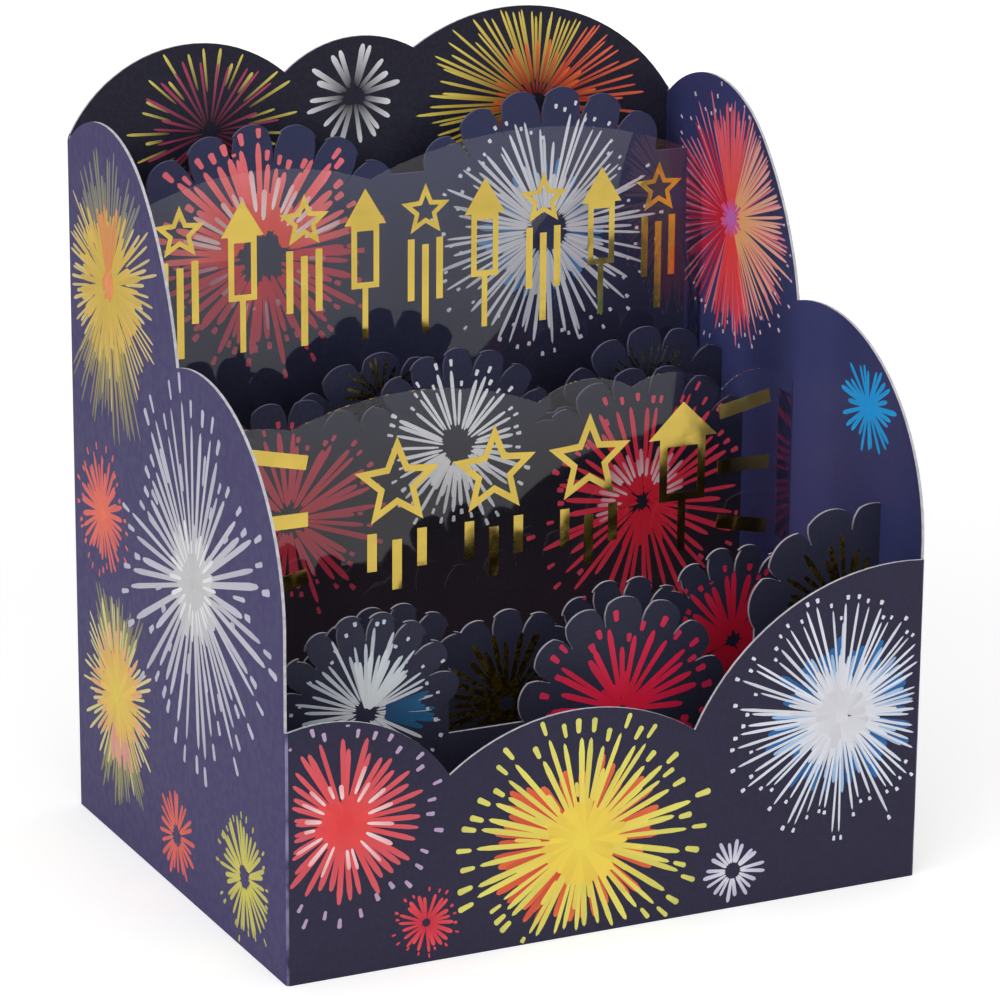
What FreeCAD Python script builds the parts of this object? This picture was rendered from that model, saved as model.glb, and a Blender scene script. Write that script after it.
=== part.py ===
import FreeCAD, Part
import math
import os
from collections import namedtuple

import Sketcher
from FreeCAD import Placement, Rotation, Vector

# Pop up box card with fireworks.
# One strip of printed card is folded into a four sided sleeve with scalloped
# die cut tops. Five die cut card layers and two clear film layers cross it,
# each glued to the two side panels by a folded tab at either end, so that the
# whole card folds flat as a parallelogram.
# Sizes are in millimetres. Widths run along X, depths along Y from the front
# panel to the back one, and heights ("up") are measured from the table.

doc = FreeCAD.newDocument("pop_up_card")
sheet = doc.addObject("Spreadsheet::Sheet", "sizes")

SIZES = {
    # thickness of card, clear film and print, and the outer radius of a fold
    "width": 102.0,
    "card": 0.45,
    "film": 0.2,
    "ink": 0.05,
    "fold": 0.6,
    # glue tabs of the layers, and how far they stop short of the layer's edges
    "tab": 5.0,
    "film_tab": 4.0,
    "tab_inset": 2.0,
    # empty depth in front of each layer, and behind the last one
    "bay_front": 11.85,
    "bay_second": 7.75,
    "bay_lower_film": 8.05,
    "bay_middle": 11.3,
    "bay_rear_middle": 1.55,
    "bay_upper_film": 1.85,
    "bay_upper": 1.3,
    "bay_back": 1.4,
    # front panel edge: three scallops
    "front_left_up": 37.2,
    "front_lobe_left": 25.0,
    "front_crown_left": 4.4,
    "front_valley_left": 27.5,
    "front_lobe_middle": 39.1,
    "front_crown_middle": 6.3,
    "front_valley_right": 28.5,
    "front_crown_right": 6.9,
    "front_right_up": 49.3,
    # back panel edge: three scallops
    "back_corner_up": 105.0,
    "back_lobe_left": 35.3,
    "back_crown_left": 9.0,
    "back_valley_left": 112.8,
    "back_lobe_middle": 21.6,
    "back_crown_middle": 3.5,
    "back_valley_right": 115.1,
    "back_crown_right": 9.8,
    # side panel edge: a low tier in front of a tall one
    "side_front_up": 50.0,
    "side_low_crown": 12.2,
    "side_low_deep": 38.5,
    "side_step_up": 80.0,
    "side_rise_crown": 1.7,
    "side_rise_deep": 11.5,
    "side_shoulder_up": 102.5,
    "side_top_crown": 6.3,
    # glue flap of the sleeve, inside the back panel
    "flap_wide": 12.0,
    "flap_slant": 4.0,
    "flap_low": 6.0,
    "flap_high": 92.0,
    # lower and upper edge of the strip that joins each layer's fireworks
    "front_layer_low": 3.0,
    "front_layer_high": 29.0,
    "second_layer_low": 3.0,
    "second_layer_high": 36.0,
    "middle_layer_low": 22.0,
    "middle_layer_high": 50.0,
    "rear_middle_layer_low": 30.0,
    "rear_middle_layer_high": 60.0,
    "upper_layer_low": 58.0,
    "upper_layer_high": 97.0,
    # rise of the small scallops round a firework
    "petal_crown": 2.0,
    "upper_petal_crown": 2.8,
    # lower film edge: five scallops
    "lower_film_low": 39.5,
    "lower_film_left_up": 67.5,
    "lower_film_lobe_one": 17.5,
    "lower_film_crown_one": 1.4,
    "lower_film_valley_one": 68.6,
    "lower_film_lobe_two": 40.0,
    "lower_film_crown_two": 4.0,
    "lower_film_valley_two": 68.5,
    "lower_film_lobe_three": 15.7,
    "lower_film_crown_three": 2.4,
    "lower_film_valley_three": 69.2,
    "lower_film_lobe_four": 15.3,
    "lower_film_crown_four": 2.6,
    "lower_film_valley_four": 67.1,
    "lower_film_crown_five": 2.7,
    "lower_film_right_up": 67.1,
    # upper film edge: two scallops
    "upper_film_low": 64.0,
    "upper_film_left_up": 93.0,
    "upper_film_lobe_one": 43.5,
    "upper_film_crown_one": 5.0,
    "upper_film_valley_one": 97.8,
    "upper_film_crown_two": 6.2,
    "upper_film_right_up": 97.0,
    # rows of gold foil figures on the films, and the dashes beside the lower row
    "lower_stroke": 2.6,
    "lower_row_from_left": 27.5,
    "lower_row_up": 42.5,
    "lower_row_wide": 14.5,
    "lower_row_tall": 23.5,
    "lower_row_gap": 1.4,
    "upper_stroke": 1.9,
    "upper_row_from_left": 8.5,
    "upper_row_up": 73.0,
    "upper_row_wide": 8.6,
    "upper_row_tall": 23.5,
    "upper_row_gap": 1.5,
    "dash_long": 9.0,
    "dash_thick": 2.2,
    "dash_step": 9.5,
    "dash_up": 55.0,
    "dash_left_in": 11.0,
    "dash_right_in": 8.5,
}

# A firework on a layer: the layer's edge is cut round it in a fan of petals.
# Its centre is measured from the left or right side panel, or it is None where
# the right panel stops the fan at the crest of a petal. Lift raises the print.
Fan = namedtuple("Fan", "edge away up radius petals first last colour reach lift")
FANS = {
    "front_layer": (
        Fan("left", 17.2, 34.0, 13.0, 8, 180, 0, "white", 13.0, 0),
        Fan("left", 58.2, 28.6, 15.6, 7, 180, 0, "red", 15.4, 0),
        Fan("wall", None, 38.0, 15.6, 4, 180, 72, "gold", 13.5, 0),
    ),
    "second_layer": (
        Fan("left", 26.5, 29.5, 13.8, 8, 180, 0, None, None, 0),
        Fan("left", 46.0, 27.2, 12.8, 7, 180, 0, "gold", 12.0, 0),
        Fan("left", 65.0, 28.4, 14.0, 8, 180, 0, None, None, 0),
        Fan("right", 17.2, 31.8, 13.2, 8, 180, 0, "red", 12.8, 0),
        Fan("wall", None, 32.0, 12.4, 3, 180, 80, None, None, 0),
    ),
    "middle_layer": (
        Fan("left", 23.6, 50.3, 16.8, 8, 180, 0, "red", 16.5, 0),
        Fan("left", 51.5, 56.0, 16.2, 9, 180, 0, "white", 13.0, 2.5),
        Fan("wall", None, 44.6, 21.4, 8, 180, 42, "red", 20.5, 1.4),
    ),
    "rear_middle_layer": (
        Fan("left", 42.0, 55.0, 16.0, 7, 180, 0, "gold", 7.0, 10.5),
        Fan("wall", None, 54.5, 16.0, 6, 180, 44, "gold", 9.0, 7.5),
    ),
    "upper_layer": (
        Fan("left", 28.0, 76.0, 28.0, 6, 131, 40, "red", 20.0, 10.2),
        Fan("right", 24.8, 78.0, 28.0, 6, 138, 47, "white", 21.0, 8.0),
    ),
}

# A firework on a panel of the sleeve: its centre is measured from the near end
# (left or front) or the far end (right or back). The first of two lies on top,
# and a turned one shows its rays between those of the one above it. One that
# hangs from a size of the panel's edge has its up measured down from there.
Burst = namedtuple("Burst", "colour edge away up reach turned under", defaults=(False, None))
BURSTS = {
    "front": (
        Burst("yellow", "near", 46.0, 14.4, 18.0),
        Burst("red", "near", 46.0, 14.4, 13.5, True),
        Burst("red", "near", 8.8, 22.9, 13.0),
        Burst("red", "near", 21.4, 6.0, 4.9),
        Burst("white", "far", 31.2, 5.8, 5.5),
        Burst("white", "far", 13.6, 27.3, 18.5),
        Burst("blue", "far", 13.6, 27.3, 15.0, True),
    ),
    "side": (
        Burst("silver", "near", 33.0, 49.5, 28.0),
        Burst("gold", "far", 16.6, 86.5, 21.0),
        Burst("coral", "far", 12.3, 50.5, 10.4),
        Burst("yellow", "far", 17.5, 23.0, 17.0),
        Burst("coral", "near", 40.9, 8.5, 7.2),
        Burst("yellow", "near", 15.1, 11.0, 9.8),
    ),
    "back": (
        Burst("gold", "near", 30.0, 84.0, 20.0),
        Burst("silver", "far", 31.0, 42.0, 22.0),
    ),
    "inner_side": (
        Burst("red", "far", 22.0, 88.5, 20.0),
        Burst("blue", "near", 16.8, 68.5, 8.2),
    ),
    "inner_back": (
        Burst("gold", "near", 22.9, 8.3, 15.5, under="back_valley_left"),
        Burst("silver", "near", 46.8, 4.5, 8.2, under="back_valley_left"),
        Burst("gold", "far", 23.1, 10.3, 19.0, under="back_valley_right"),
    ),
}

# Rise of half a petal, beside that of a whole one
HALF_PETAL = 0.3

# Rays of a firework, and of a small one. Beside the reach: the waist between two
# rays, and the tip of every third ray, which is shorter.
RAYS = 11
FEW_RAYS = 8
SMALL_REACH = 10.5
RAY_WAIST = 0.34
SHORT_RAY = 0.84
SHORT_RAY_EVERY = 3

# Foil figures. Beside a figure's width or height: the waist of a star, how far
# apart and how high the outer trails start, and a rocket's case and head. Beside
# the stroke: how broad the trails, the case's wall and the stick are.
UPPER_FIGURES = 9
LOWER_FIGURES = 4
STAR_TIPS = 5
STAR_WAIST = 0.45
TRAIL_APART = 0.28
TRAIL_FOOT = 0.35
TRAIL_STROKE = 0.6
CASE_HALF = 0.27
CASE_FOOT = 0.34
CASE_TOP = 0.76
HEAD_BRIM = 1.5
CASE_STROKE = 0.5
STICK_STROKE = 0.5
DASH_TILT = 12


class Size:
    """A length with its value in millimetres and the sheet expression behind it."""

    def __init__(self, value, text):
        self.value = float(value)
        self.text = text

    def __add__(self, other):
        other = as_size(other)
        return Size(self.value + other.value, "(%s + %s)" % (self.text, other.text))

    def __sub__(self, other):
        other = as_size(other)
        return Size(self.value - other.value, "(%s - %s)" % (self.text, other.text))

    def __mul__(self, factor):
        return Size(self.value * factor, "(%s * %.9f)" % (self.text, factor))


def as_size(number):
    return number if isinstance(number, Size) else Size(number, repr(float(number)))


def size(alias):
    return Size(getattr(sheet, alias), "sizes." + alias)


def tallest(first, second):
    return Size(max(first.value, second.value), "max(%s; %s)" % (first.text, second.text))


def cell_name(group, number, what):
    return "%s_%s_%s" % (group, "abcdefgh"[number], what)


def fill_sheet():
    # Every size gets a row: its alias beside a plain number
    cells = dict(SIZES)
    for group, fans in FANS.items():
        for number, fan in enumerate(fans):
            cells[cell_name(group, number, "away")] = fan.away
            cells[cell_name(group, number, "up")] = fan.up
            cells[cell_name(group, number, "radius")] = fan.radius
            cells[cell_name(group, number, "reach")] = fan.reach
            cells[cell_name(group, number, "lift")] = fan.lift or None
    for group, bursts in BURSTS.items():
        for number, burst in enumerate(bursts):
            cells[cell_name(group, number, "away")] = burst.away
            cells[cell_name(group, number, "up")] = burst.up
            cells[cell_name(group, number, "reach")] = burst.reach
    used = [(alias, value) for alias, value in cells.items() if value is not None]
    for row, (alias, value) in enumerate(used, start=1):
        sheet.set("A%d" % row, alias)
        sheet.set("B%d" % row, repr(value))
        sheet.setAlias("B%d" % row, alias)
    doc.recompute()


# Sketches and pads


def new_body(name):
    body = doc.addObject("PartDesign::Body", name)
    body.Label = name
    return body


def new_sketch(body, name, role, offset=None):
    plane = [part for part in body.Origin.OriginFeatures if part.Role == role][0]
    sketch = body.newObject("Sketcher::SketchObject", name)
    sketch.AttachmentSupport = [(plane, "")]
    sketch.MapMode = "FlatFace"
    if offset:
        sketch.AttachmentOffset = Placement(Vector(0, 0, offset.value), Rotation())
        sketch.setExpression("AttachmentOffset.Base.z", offset.text)
    return sketch


def arc_radius(start, end, crown):
    # Radius of the arc that rises by crown over the chord from start to end
    across = end[0] - start[0]
    rise = end[1] - start[1]
    value = ((across.value ** 2 + rise.value ** 2) / 4 + crown.value ** 2) / (2 * crown.value)
    text = "((%s^2 + %s^2) / 4 + %s^2) / (2 * %s)" % (across.text, rise.text, crown.text, crown.text)
    return Size(value, text)


def draw(sketch, corners):
    # Closed outline. A corner is (across, up, crown): crown is the rise, to the
    # left of the way ahead, of the arc to the next corner, or None if straight.
    corners = [(as_size(x), as_size(y), crown) for x, y, crown in corners]
    edges = []
    tips = []
    for index, (x, y, crown) in enumerate(corners):
        following = corners[(index + 1) % len(corners)]
        start = Vector(x.value, y.value, 0)
        end = Vector(following[0].value, following[1].value, 0)
        if crown is None:
            edges.append(Part.LineSegment(start, end))
            tips.append((1, 2))
        else:
            run = end - start
            left = Vector(-run.y, run.x, 0).normalize()
            edges.append(Part.Arc(start, (start + end) * 0.5 + left * crown.value, end))
            tips.append((2, 1))
    first_edge = sketch.GeometryCount
    first_rule = sketch.ConstraintCount
    sketch.addGeometry(edges, False)
    rules = []
    bound = []
    for index, (x, y, crown) in enumerate(corners):
        edge = first_edge + index
        near = tips[index][0]
        following = (index + 1) % len(corners)
        rules.append(Sketcher.Constraint("Coincident", edge, tips[index][1],
                                         first_edge + following, tips[following][0]))
        for kind, axis, length in (("DistanceX", -2, x), ("DistanceY", -1, y)):
            if length.value == 0:
                rules.append(Sketcher.Constraint("PointOnObject", edge, near, axis))
            else:
                bound.append((len(rules), length))
                rules.append(Sketcher.Constraint(kind, -1, 1, edge, near, length.value))
        if crown is not None:
            radius = arc_radius((x, y), corners[following], crown)
            bound.append((len(rules), radius))
            rules.append(Sketcher.Constraint("Radius", edge, radius.value))
    sketch.addConstraint(rules)
    for index, length in bound:
        sketch.setExpression("Constraints[%d]" % (first_rule + index), length.text)


def add_pad(body, sketch, name, length):
    # Away from the viewer in front: +Y from an XZ sketch
    feature = body.newObject("PartDesign::Pad", name)
    feature.Profile = sketch
    feature.Length = length.value
    feature.setExpression("Length", length.text)
    feature.Reversed = True
    feature.Refine = True


def place(body, x, y, up):
    for axis, length in (("x", x), ("y", y), ("z", up)):
        body.setExpression("Placement.Base." + axis, length.text)


fill_sheet()

width = size("width")
card = size("card")
film = size("film")
fold = size("fold")
tab = size("tab")
span = width - card * 2

# Front face of each layer, measured from the outside of the front panel
front_layer_at = card + size("bay_front")
second_layer_at = front_layer_at + card + tab + size("bay_second")
lower_film_at = second_layer_at + card + tab + size("bay_lower_film")
middle_layer_at = lower_film_at + film + size("film_tab") + size("bay_middle")
rear_middle_layer_at = middle_layer_at + card + tab + size("bay_rear_middle")
upper_film_at = rear_middle_layer_at + card + tab + size("bay_upper_film")
upper_layer_at = upper_film_at + film + size("film_tab") + size("bay_upper")
depth = upper_layer_at + card + tab + size("bay_back") + card

# The origin is under the middle of the card
left_edge = width * -0.5
front_edge = depth * -0.5


# Sleeve


def rounded_plan(sketch, inset, radius):
    # Plan of the sleeve, inset from its outside, with the folds as quarter circles
    crown = radius * (1 - math.sqrt(0.5))
    near = inset + radius
    right = width - inset
    back = depth - inset
    draw(sketch, (
        (inset, near, None),
        (inset, back - radius, crown),
        (near, back, None),
        (right - radius, back, crown),
        (right, back - radius, None),
        (right, near, crown),
        (right - radius, inset, None),
        (near, inset, crown),
    ))


def cut_above(body, name, sketch, edge, top, length, both_ways=False):
    # The card above the edge is waste. The edge runs from left to right.
    draw(sketch, edge + ((edge[-1][0], top, None), (edge[0][0], top, None)))
    pocket = body.newObject("PartDesign::Pocket", name)
    pocket.Profile = sketch
    pocket.Length = length.value
    pocket.setExpression("Length", length.text)
    pocket.Midplane = both_ways
    pocket.Refine = True


def front_panel_edge():
    second = size("front_lobe_left")
    third = second + size("front_lobe_middle")
    return (
        (0, size("front_left_up"), size("front_crown_left")),
        (second, size("front_valley_left"), size("front_crown_middle")),
        (third, size("front_valley_right"), size("front_crown_right")),
        (width, size("front_right_up"), None),
    )


def back_panel_edge():
    second = size("back_lobe_left")
    third = second + size("back_lobe_middle")
    return (
        (0, size("back_corner_up"), size("back_crown_left")),
        (second, size("back_valley_left"), size("back_crown_middle")),
        (third, size("back_valley_right"), size("back_crown_right")),
        (width, size("back_corner_up"), None),
    )


def side_panel_edge():
    step = size("side_low_deep")
    shoulder = step + size("side_rise_deep")
    return (
        (fold, size("side_front_up"), size("side_low_crown")),
        (step, size("side_step_up"), size("side_rise_crown")),
        (shoulder, size("side_shoulder_up"), size("side_top_crown")),
        (depth - fold, size("back_corner_up"), None),
    )


def make_sleeve():
    body = new_body("sleeve")
    crests = size("back_crown_left") + size("back_crown_right")
    valleys = tallest(size("back_valley_left"), size("back_valley_right"))
    top = tallest(valleys, size("back_corner_up")) + crests

    plan = new_sketch(body, "sleeve_plan", "XY_Plane")
    rounded_plan(plan, as_size(0), fold)
    rounded_plan(plan, card, fold - card)
    wall = body.newObject("PartDesign::Pad", "sleeve_wall")
    wall.Profile = plan
    wall.Length = top.value
    wall.setExpression("Length", top.text)

    front = new_sketch(body, "front_edge_sketch", "XZ_Plane")
    cut_above(body, "front_edge", front, front_panel_edge(), top, fold)
    back = new_sketch(body, "back_edge_sketch", "XZ_Plane", fold - depth)
    cut_above(body, "back_edge", back, back_panel_edge(), top, fold)
    side = new_sketch(body, "side_edge_sketch", "YZ_Plane", width * 0.5)
    cut_above(body, "side_edge", side, side_panel_edge(), top, width, both_ways=True)

    flap = new_sketch(body, "flap_sketch", "XZ_Plane", card * 2 - depth)
    outer = card + size("flap_wide")
    draw(flap, (
        (card, size("flap_low"), None),
        (card, size("flap_high"), None),
        (outer, size("flap_high") - size("flap_slant"), None),
        (outer, size("flap_low") + size("flap_slant"), None),
    ))
    add_pad(body, flap, "flap", card)
    place(body, left_edge, front_edge, as_size(0))
    return body


# Layers


def make_layer(name, at, thick, tab_long, edge):
    # A strip from one side panel to the other, with a tab folded back at each end
    body = new_body(name)
    low = size(name + "_low")
    edge = tuple((x, up - low, crown) for x, up, crown in edge)
    face = new_sketch(body, name + "_face_sketch", "XZ_Plane")
    draw(face, ((0, 0, None),) + edge + ((span, 0, None),))
    add_pad(body, face, name + "_face", thick)

    inset = size("tab_inset")
    tabs = new_sketch(body, name + "_tab_sketch", "XZ_Plane")
    for start, end, high in ((0, thick, edge[0][1]), (span - thick, span, edge[-1][1])):
        draw(tabs, (
            (start, inset, None),
            (start, high - inset, None),
            (end, high - inset, None),
            (end, inset, None),
        ))
    add_pad(body, tabs, name + "_tabs", thick + tab_long)
    place(body, left_edge + card, front_edge + at, low)
    return body


def petal_for(name):
    return size("upper_petal_crown" if name == "upper_layer" else "petal_crown")


def fan_centre(name, number, fan):
    # Centre of a fan, across from the inside of the left side panel
    if fan.edge == "wall":
        crest = size(cell_name(name, number, "radius")) + petal_for(name)
        return span - crest * math.cos(math.radians(fan.last))
    away = size(cell_name(name, number, "away"))
    return away if fan.edge == "left" else span - away


def add_fan(body, name, number, fan):
    centre = fan_centre(name, number, fan)
    up = size(cell_name(name, number, "up")) - size(name + "_low")
    radius = size(cell_name(name, number, "radius"))
    petal = petal_for(name)
    at_wall = fan.edge == "wall"
    turn = math.radians(fan.last - fan.first) / (fan.petals - 0.5 if at_wall else fan.petals)
    corners = []
    for step in range(fan.petals):
        angle = math.radians(fan.first) + turn * step
        corners.append((centre + radius * math.cos(angle), up + radius * math.sin(angle), petal))
    if at_wall:
        # Half a petal, up to its crest
        corners[-1] = corners[-1][:2] + (petal * HALF_PETAL,)
        radius = radius + petal
    last = math.radians(fan.last)
    corners.append((centre + radius * math.cos(last), up + radius * math.sin(last), None))
    corners.append((corners[-1][0], 0, None))
    corners.append((corners[0][0], 0, None))
    sketch = new_sketch(body, cell_name(name, number, "fan_sketch"), "XZ_Plane")
    draw(sketch, corners)
    add_pad(body, sketch, cell_name(name, number, "fan"), card)


def make_card_layer(name, at):
    high = size(name + "_high")
    body = make_layer(name, at, card, tab, ((0, high, None), (span, high, None)))
    for number, fan in enumerate(FANS[name]):
        add_fan(body, name, number, fan)
    return body


def lower_film_edge():
    second = size("lower_film_lobe_one")
    third = second + size("lower_film_lobe_two")
    fourth = third + size("lower_film_lobe_three")
    fifth = fourth + size("lower_film_lobe_four")
    return (
        (0, size("lower_film_left_up"), size("lower_film_crown_one")),
        (second, size("lower_film_valley_one"), size("lower_film_crown_two")),
        (third, size("lower_film_valley_two"), size("lower_film_crown_three")),
        (fourth, size("lower_film_valley_three"), size("lower_film_crown_four")),
        (fifth, size("lower_film_valley_four"), size("lower_film_crown_five")),
        (span, size("lower_film_right_up"), None),
    )


def upper_film_edge():
    return (
        (0, size("upper_film_left_up"), size("upper_film_crown_one")),
        (size("upper_film_lobe_one"), size("upper_film_valley_one"), size("upper_film_crown_two")),
        (span, size("upper_film_right_up"), None),
    )


sleeve = make_sleeve()
front_layer = make_card_layer("front_layer", front_layer_at)
second_layer = make_card_layer("second_layer", second_layer_at)
lower_film = make_layer("lower_film", lower_film_at, film, size("film_tab"), lower_film_edge())
middle_layer = make_card_layer("middle_layer", middle_layer_at)
rear_middle_layer = make_card_layer("rear_middle_layer", rear_middle_layer_at)
upper_film = make_layer("upper_film", upper_film_at, film, size("film_tab"), upper_film_edge())
upper_layer = make_card_layer("upper_layer", upper_layer_at)
layers = [front_layer, second_layer, lower_film, middle_layer,
          rear_middle_layer, upper_film, upper_layer]
doc.recompute()


# Print and foil: thin fields that lie face to face on the card or the film


class Panel:
    """A flat side of a sheet. Points on it are given as (across, up)."""

    def __init__(self, carrier, corner, across, facing):
        self.corner = corner
        self.across = across
        self.facing = facing
        level = corner.dot(facing)
        self.faces = Part.makeCompound([
            face for face in carrier.Shape.Faces
            if face.Surface.TypeId == "Part::GeomPlane"
            and face.normalAt(0, 0).dot(facing) > 0.999
            and abs(face.CenterOfMass.dot(facing) - level) < card.value / 10])

    def face(self, points):
        corners = [self.corner + self.across * x + Vector(0, 0, up) for x, up in points]
        return Part.Face(Part.makePolygon(corners + corners[:1]))

    def field(self, shape, thick):
        # The part of the shape that the sheet carries, as a thin solid
        return shape.common(self.faces).extrude(self.facing * thick)


def firework(panel, across, up, reach, turned):
    rays = RAYS if reach > SMALL_REACH else FEW_RAYS
    points = []
    for step in range(2 * rays):
        angle = math.pi * ((step + turned) / rays + 0.5)
        short = step % (2 * SHORT_RAY_EVERY) == 2
        tip = reach * (SHORT_RAY if short else 1.0)
        length = reach * RAY_WAIST if step % 2 else tip
        points.append((across + length * math.cos(angle), up + length * math.sin(angle)))
    return panel.face(points)


def print_fireworks(fields, panel, bursts, neighbours=()):
    # bursts are (colour, across, up, reach, turned); the first of two lies on top
    covered = []
    for colour, across, up, reach, turned in bursts:
        rays = firework(panel, across, up, reach, turned)
        shape = rays.cut(covered) if covered else rays
        covered.append(rays)
        field = panel.field(shape, size("ink").value)
        if neighbours:
            field = field.cut(list(neighbours))
        fields.setdefault(colour, []).extend(field.Solids)


def add_fields(prefix, fields):
    made = []
    for colour, solids in fields.items():
        feature = doc.addObject("Part::Feature", prefix + "_" + colour)
        feature.Label = feature.Name
        feature.Shape = Part.makeCompound(solids)
        made.append(feature)
    return made


def panel_bursts(group, long):
    found = []
    for number, burst in enumerate(BURSTS[group]):
        away = size(cell_name(group, number, "away")).value
        across = away if burst.edge == "near" else long - away
        up = size(cell_name(group, number, "up")).value
        if burst.under:
            up = size(burst.under).value - up
        reach = size(cell_name(group, number, "reach")).value
        found.append((burst.colour, across, up, reach, burst.turned))
    return found


def print_sleeve():
    right = Vector(1, 0, 0)
    back = Vector(0, 1, 0)
    thick = card.value
    low_corner = Vector(left_edge.value, front_edge.value, 0)
    far_x = low_corner + right * width.value
    far_y = low_corner + back * depth.value
    outside = {}
    print_fireworks(outside, Panel(sleeve, low_corner, right, -back), panel_bursts("front", width.value))
    print_fireworks(outside, Panel(sleeve, far_y, right, back), panel_bursts("back", width.value))
    print_fireworks(outside, Panel(sleeve, low_corner, back, -right), panel_bursts("side", depth.value))
    print_fireworks(outside, Panel(sleeve, far_x, back, right), panel_bursts("side", depth.value))
    inside = {}
    glued = [layer.Shape for layer in layers]
    side = panel_bursts("inner_side", depth.value)
    print_fireworks(inside, Panel(sleeve, low_corner + right * thick, back, right), side, glued)
    print_fireworks(inside, Panel(sleeve, far_x - right * thick, back, -right), side, glued)
    rear = panel_bursts("inner_back", width.value)
    print_fireworks(inside, Panel(sleeve, far_y - back * thick, right, -back), rear, glued)
    return add_fields("sleeve_outside", outside) + add_fields("sleeve_inside", inside)


def layer_panel(layer):
    corner = Vector(layer.Placement.Base.x, layer.Placement.Base.y, 0)
    return Panel(layer, corner, Vector(1, 0, 0), Vector(0, -1, 0))


def print_layer(layer):
    bursts = []
    for number, fan in enumerate(FANS[layer.Name]):
        if fan.colour:
            up = size(cell_name(layer.Name, number, "up")).value
            if fan.lift:
                up += size(cell_name(layer.Name, number, "lift")).value
            across = fan_centre(layer.Name, number, fan).value
            reach = size(cell_name(layer.Name, number, "reach")).value
            bursts.append((fan.colour, across, up, reach, False))
    fields = {}
    print_fireworks(fields, layer_panel(layer), bursts)
    return add_fields(layer.Name, fields)


def bar(panel, left, right, low, high):
    return panel.face(((left, low), (left, high), (right, high), (right, low)))


def star(panel, middle, up, radius):
    points = []
    for step in range(2 * STAR_TIPS):
        angle = math.pi * (step / STAR_TIPS + 0.5)
        length = radius if step % 2 == 0 else radius * STAR_WAIST
        points.append((middle + length * math.cos(angle), up + length * math.sin(angle)))
    return panel.face(points)


def shooting_star(panel, left, low, wide, tall, stroke):
    # An outlined star over three trails, the middle one longer and lower
    middle = left + wide / 2
    up = low + tall - wide / 2
    outline = star(panel, middle, up, wide / 2).cut(star(panel, middle, up, wide / 2 - stroke))
    half = stroke * TRAIL_STROKE / 2
    top = up - wide / 2
    side_foot = low + (top - low) * TRAIL_FOOT
    pieces = [outline]
    for side, foot, start in ((-1, side_foot, top), (0, low, top - stroke / 2), (1, side_foot, top)):
        x = middle + side * wide * TRAIL_APART
        pieces.append(bar(panel, x - half, x + half, foot, start))
    return pieces


def rocket(panel, left, low, wide, tall, stroke):
    # A pointed head, a case and a stick
    middle = left + wide / 2
    half = wide * CASE_HALF
    base = low + tall * CASE_FOOT
    shoulder = low + tall * CASE_TOP
    brim = half * HEAD_BRIM
    wall = stroke * CASE_STROKE
    thin = stroke * STICK_STROKE / 2
    head = panel.face(((middle - brim, shoulder), (middle, low + tall), (middle + brim, shoulder)))
    case = bar(panel, middle - half, middle + half, base, shoulder)
    hollow = bar(panel, middle - half + wall, middle + half - wall, base + wall, shoulder - wall)
    stick = bar(panel, middle - thin, middle + thin, low, base)
    return [head.fuse([case.cut(hollow), stick])]


def foil_row(panel, row, count):
    # Figures side by side: shooting stars, with a rocket in every second place
    left = size(row + "_row_from_left").value - card.value
    low = size(row + "_row_up").value
    wide = size(row + "_row_wide").value
    tall = size(row + "_row_tall").value
    stroke = size(row + "_stroke").value
    pieces = []
    for number in range(count):
        rocket_here = number % 2 == 1 if count == UPPER_FIGURES else number == count - 1
        figure = rocket if rocket_here else shooting_star
        pieces += figure(panel, left, low, wide, tall, stroke)
        left += wide + size(row + "_row_gap").value
    return pieces


def foil_dashes(panel):
    # Three strokes at each end of the lower row, spreading outwards
    half = size("dash_long").value / 2
    thin = size("dash_thick").value / 2
    pieces = []
    for middle, side in ((size("dash_left_in").value + half, -1),
                         (span.value - size("dash_right_in").value, 1)):
        for step in (-1, 0, 1):
            up = size("dash_up").value + step * size("dash_step").value
            tilt = math.radians(DASH_TILT * step * side)
            long = Vector(math.cos(tilt), math.sin(tilt), 0)
            wide = Vector(-long.y, long.x, 0)
            ends = ((-half, -thin), (-half, thin), (half, thin), (half, -thin))
            corners = [long * x + wide * y for x, y in ends]
            pieces.append(panel.face([(middle + corner.x, up + corner.y) for corner in corners]))
    return pieces


def make_foil(name, layer, row, count, with_dashes=False):
    panel = layer_panel(layer)
    pieces = foil_row(panel, row, count)
    if with_dashes:
        pieces += foil_dashes(panel)
    solids = []
    for piece in pieces:
        solids += panel.field(piece, size("ink").value).Solids
    feature = doc.addObject("Part::Feature", name)
    feature.Label = name
    feature.Shape = Part.makeCompound(solids)
    return feature


prints = print_sleeve()
for layer in (front_layer, second_layer, middle_layer, rear_middle_layer, upper_layer):
    prints += print_layer(layer)
lower_foil = make_foil("lower_foil", lower_film, "lower", LOWER_FIGURES, with_dashes=True)
upper_foil = make_foil("upper_foil", upper_film, "upper", UPPER_FIGURES)
doc.recompute()

parts = [sleeve] + layers + prints + [lower_foil, upper_foil]
for item in doc.Objects:
    if "Invalid" in item.State or "Error" in item.State:
        raise RuntimeError("%s failed: %s" % (item.Name, item.State))
for item in parts:
    if item.Shape.isNull() or not item.Shape.isValid() or not item.Shape.Solids:
        raise RuntimeError("%s has no sound shape" % item.Label)

os.makedirs("parts", exist_ok=True)
for item in parts:
    item.Shape.exportStep("parts/%s.step" % item.Label)
    box = item.Shape.BoundBox
    print("%-28s %3d solids %9.2f mm3  %6.1f x %5.1f x %5.1f" % (
        item.Label, len(item.Shape.Solids), item.Shape.Volume, box.XLength, box.YLength, box.ZLength))
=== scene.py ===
# %% [markdown]
# The card's frame. The imported model holds every sheet of the card at its real size, in metres. It is
# loaded once, and nothing in it is moved: this script gives each sheet its finish and puts the printed
# fireworks on it.

import math
from collections import namedtuple

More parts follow.
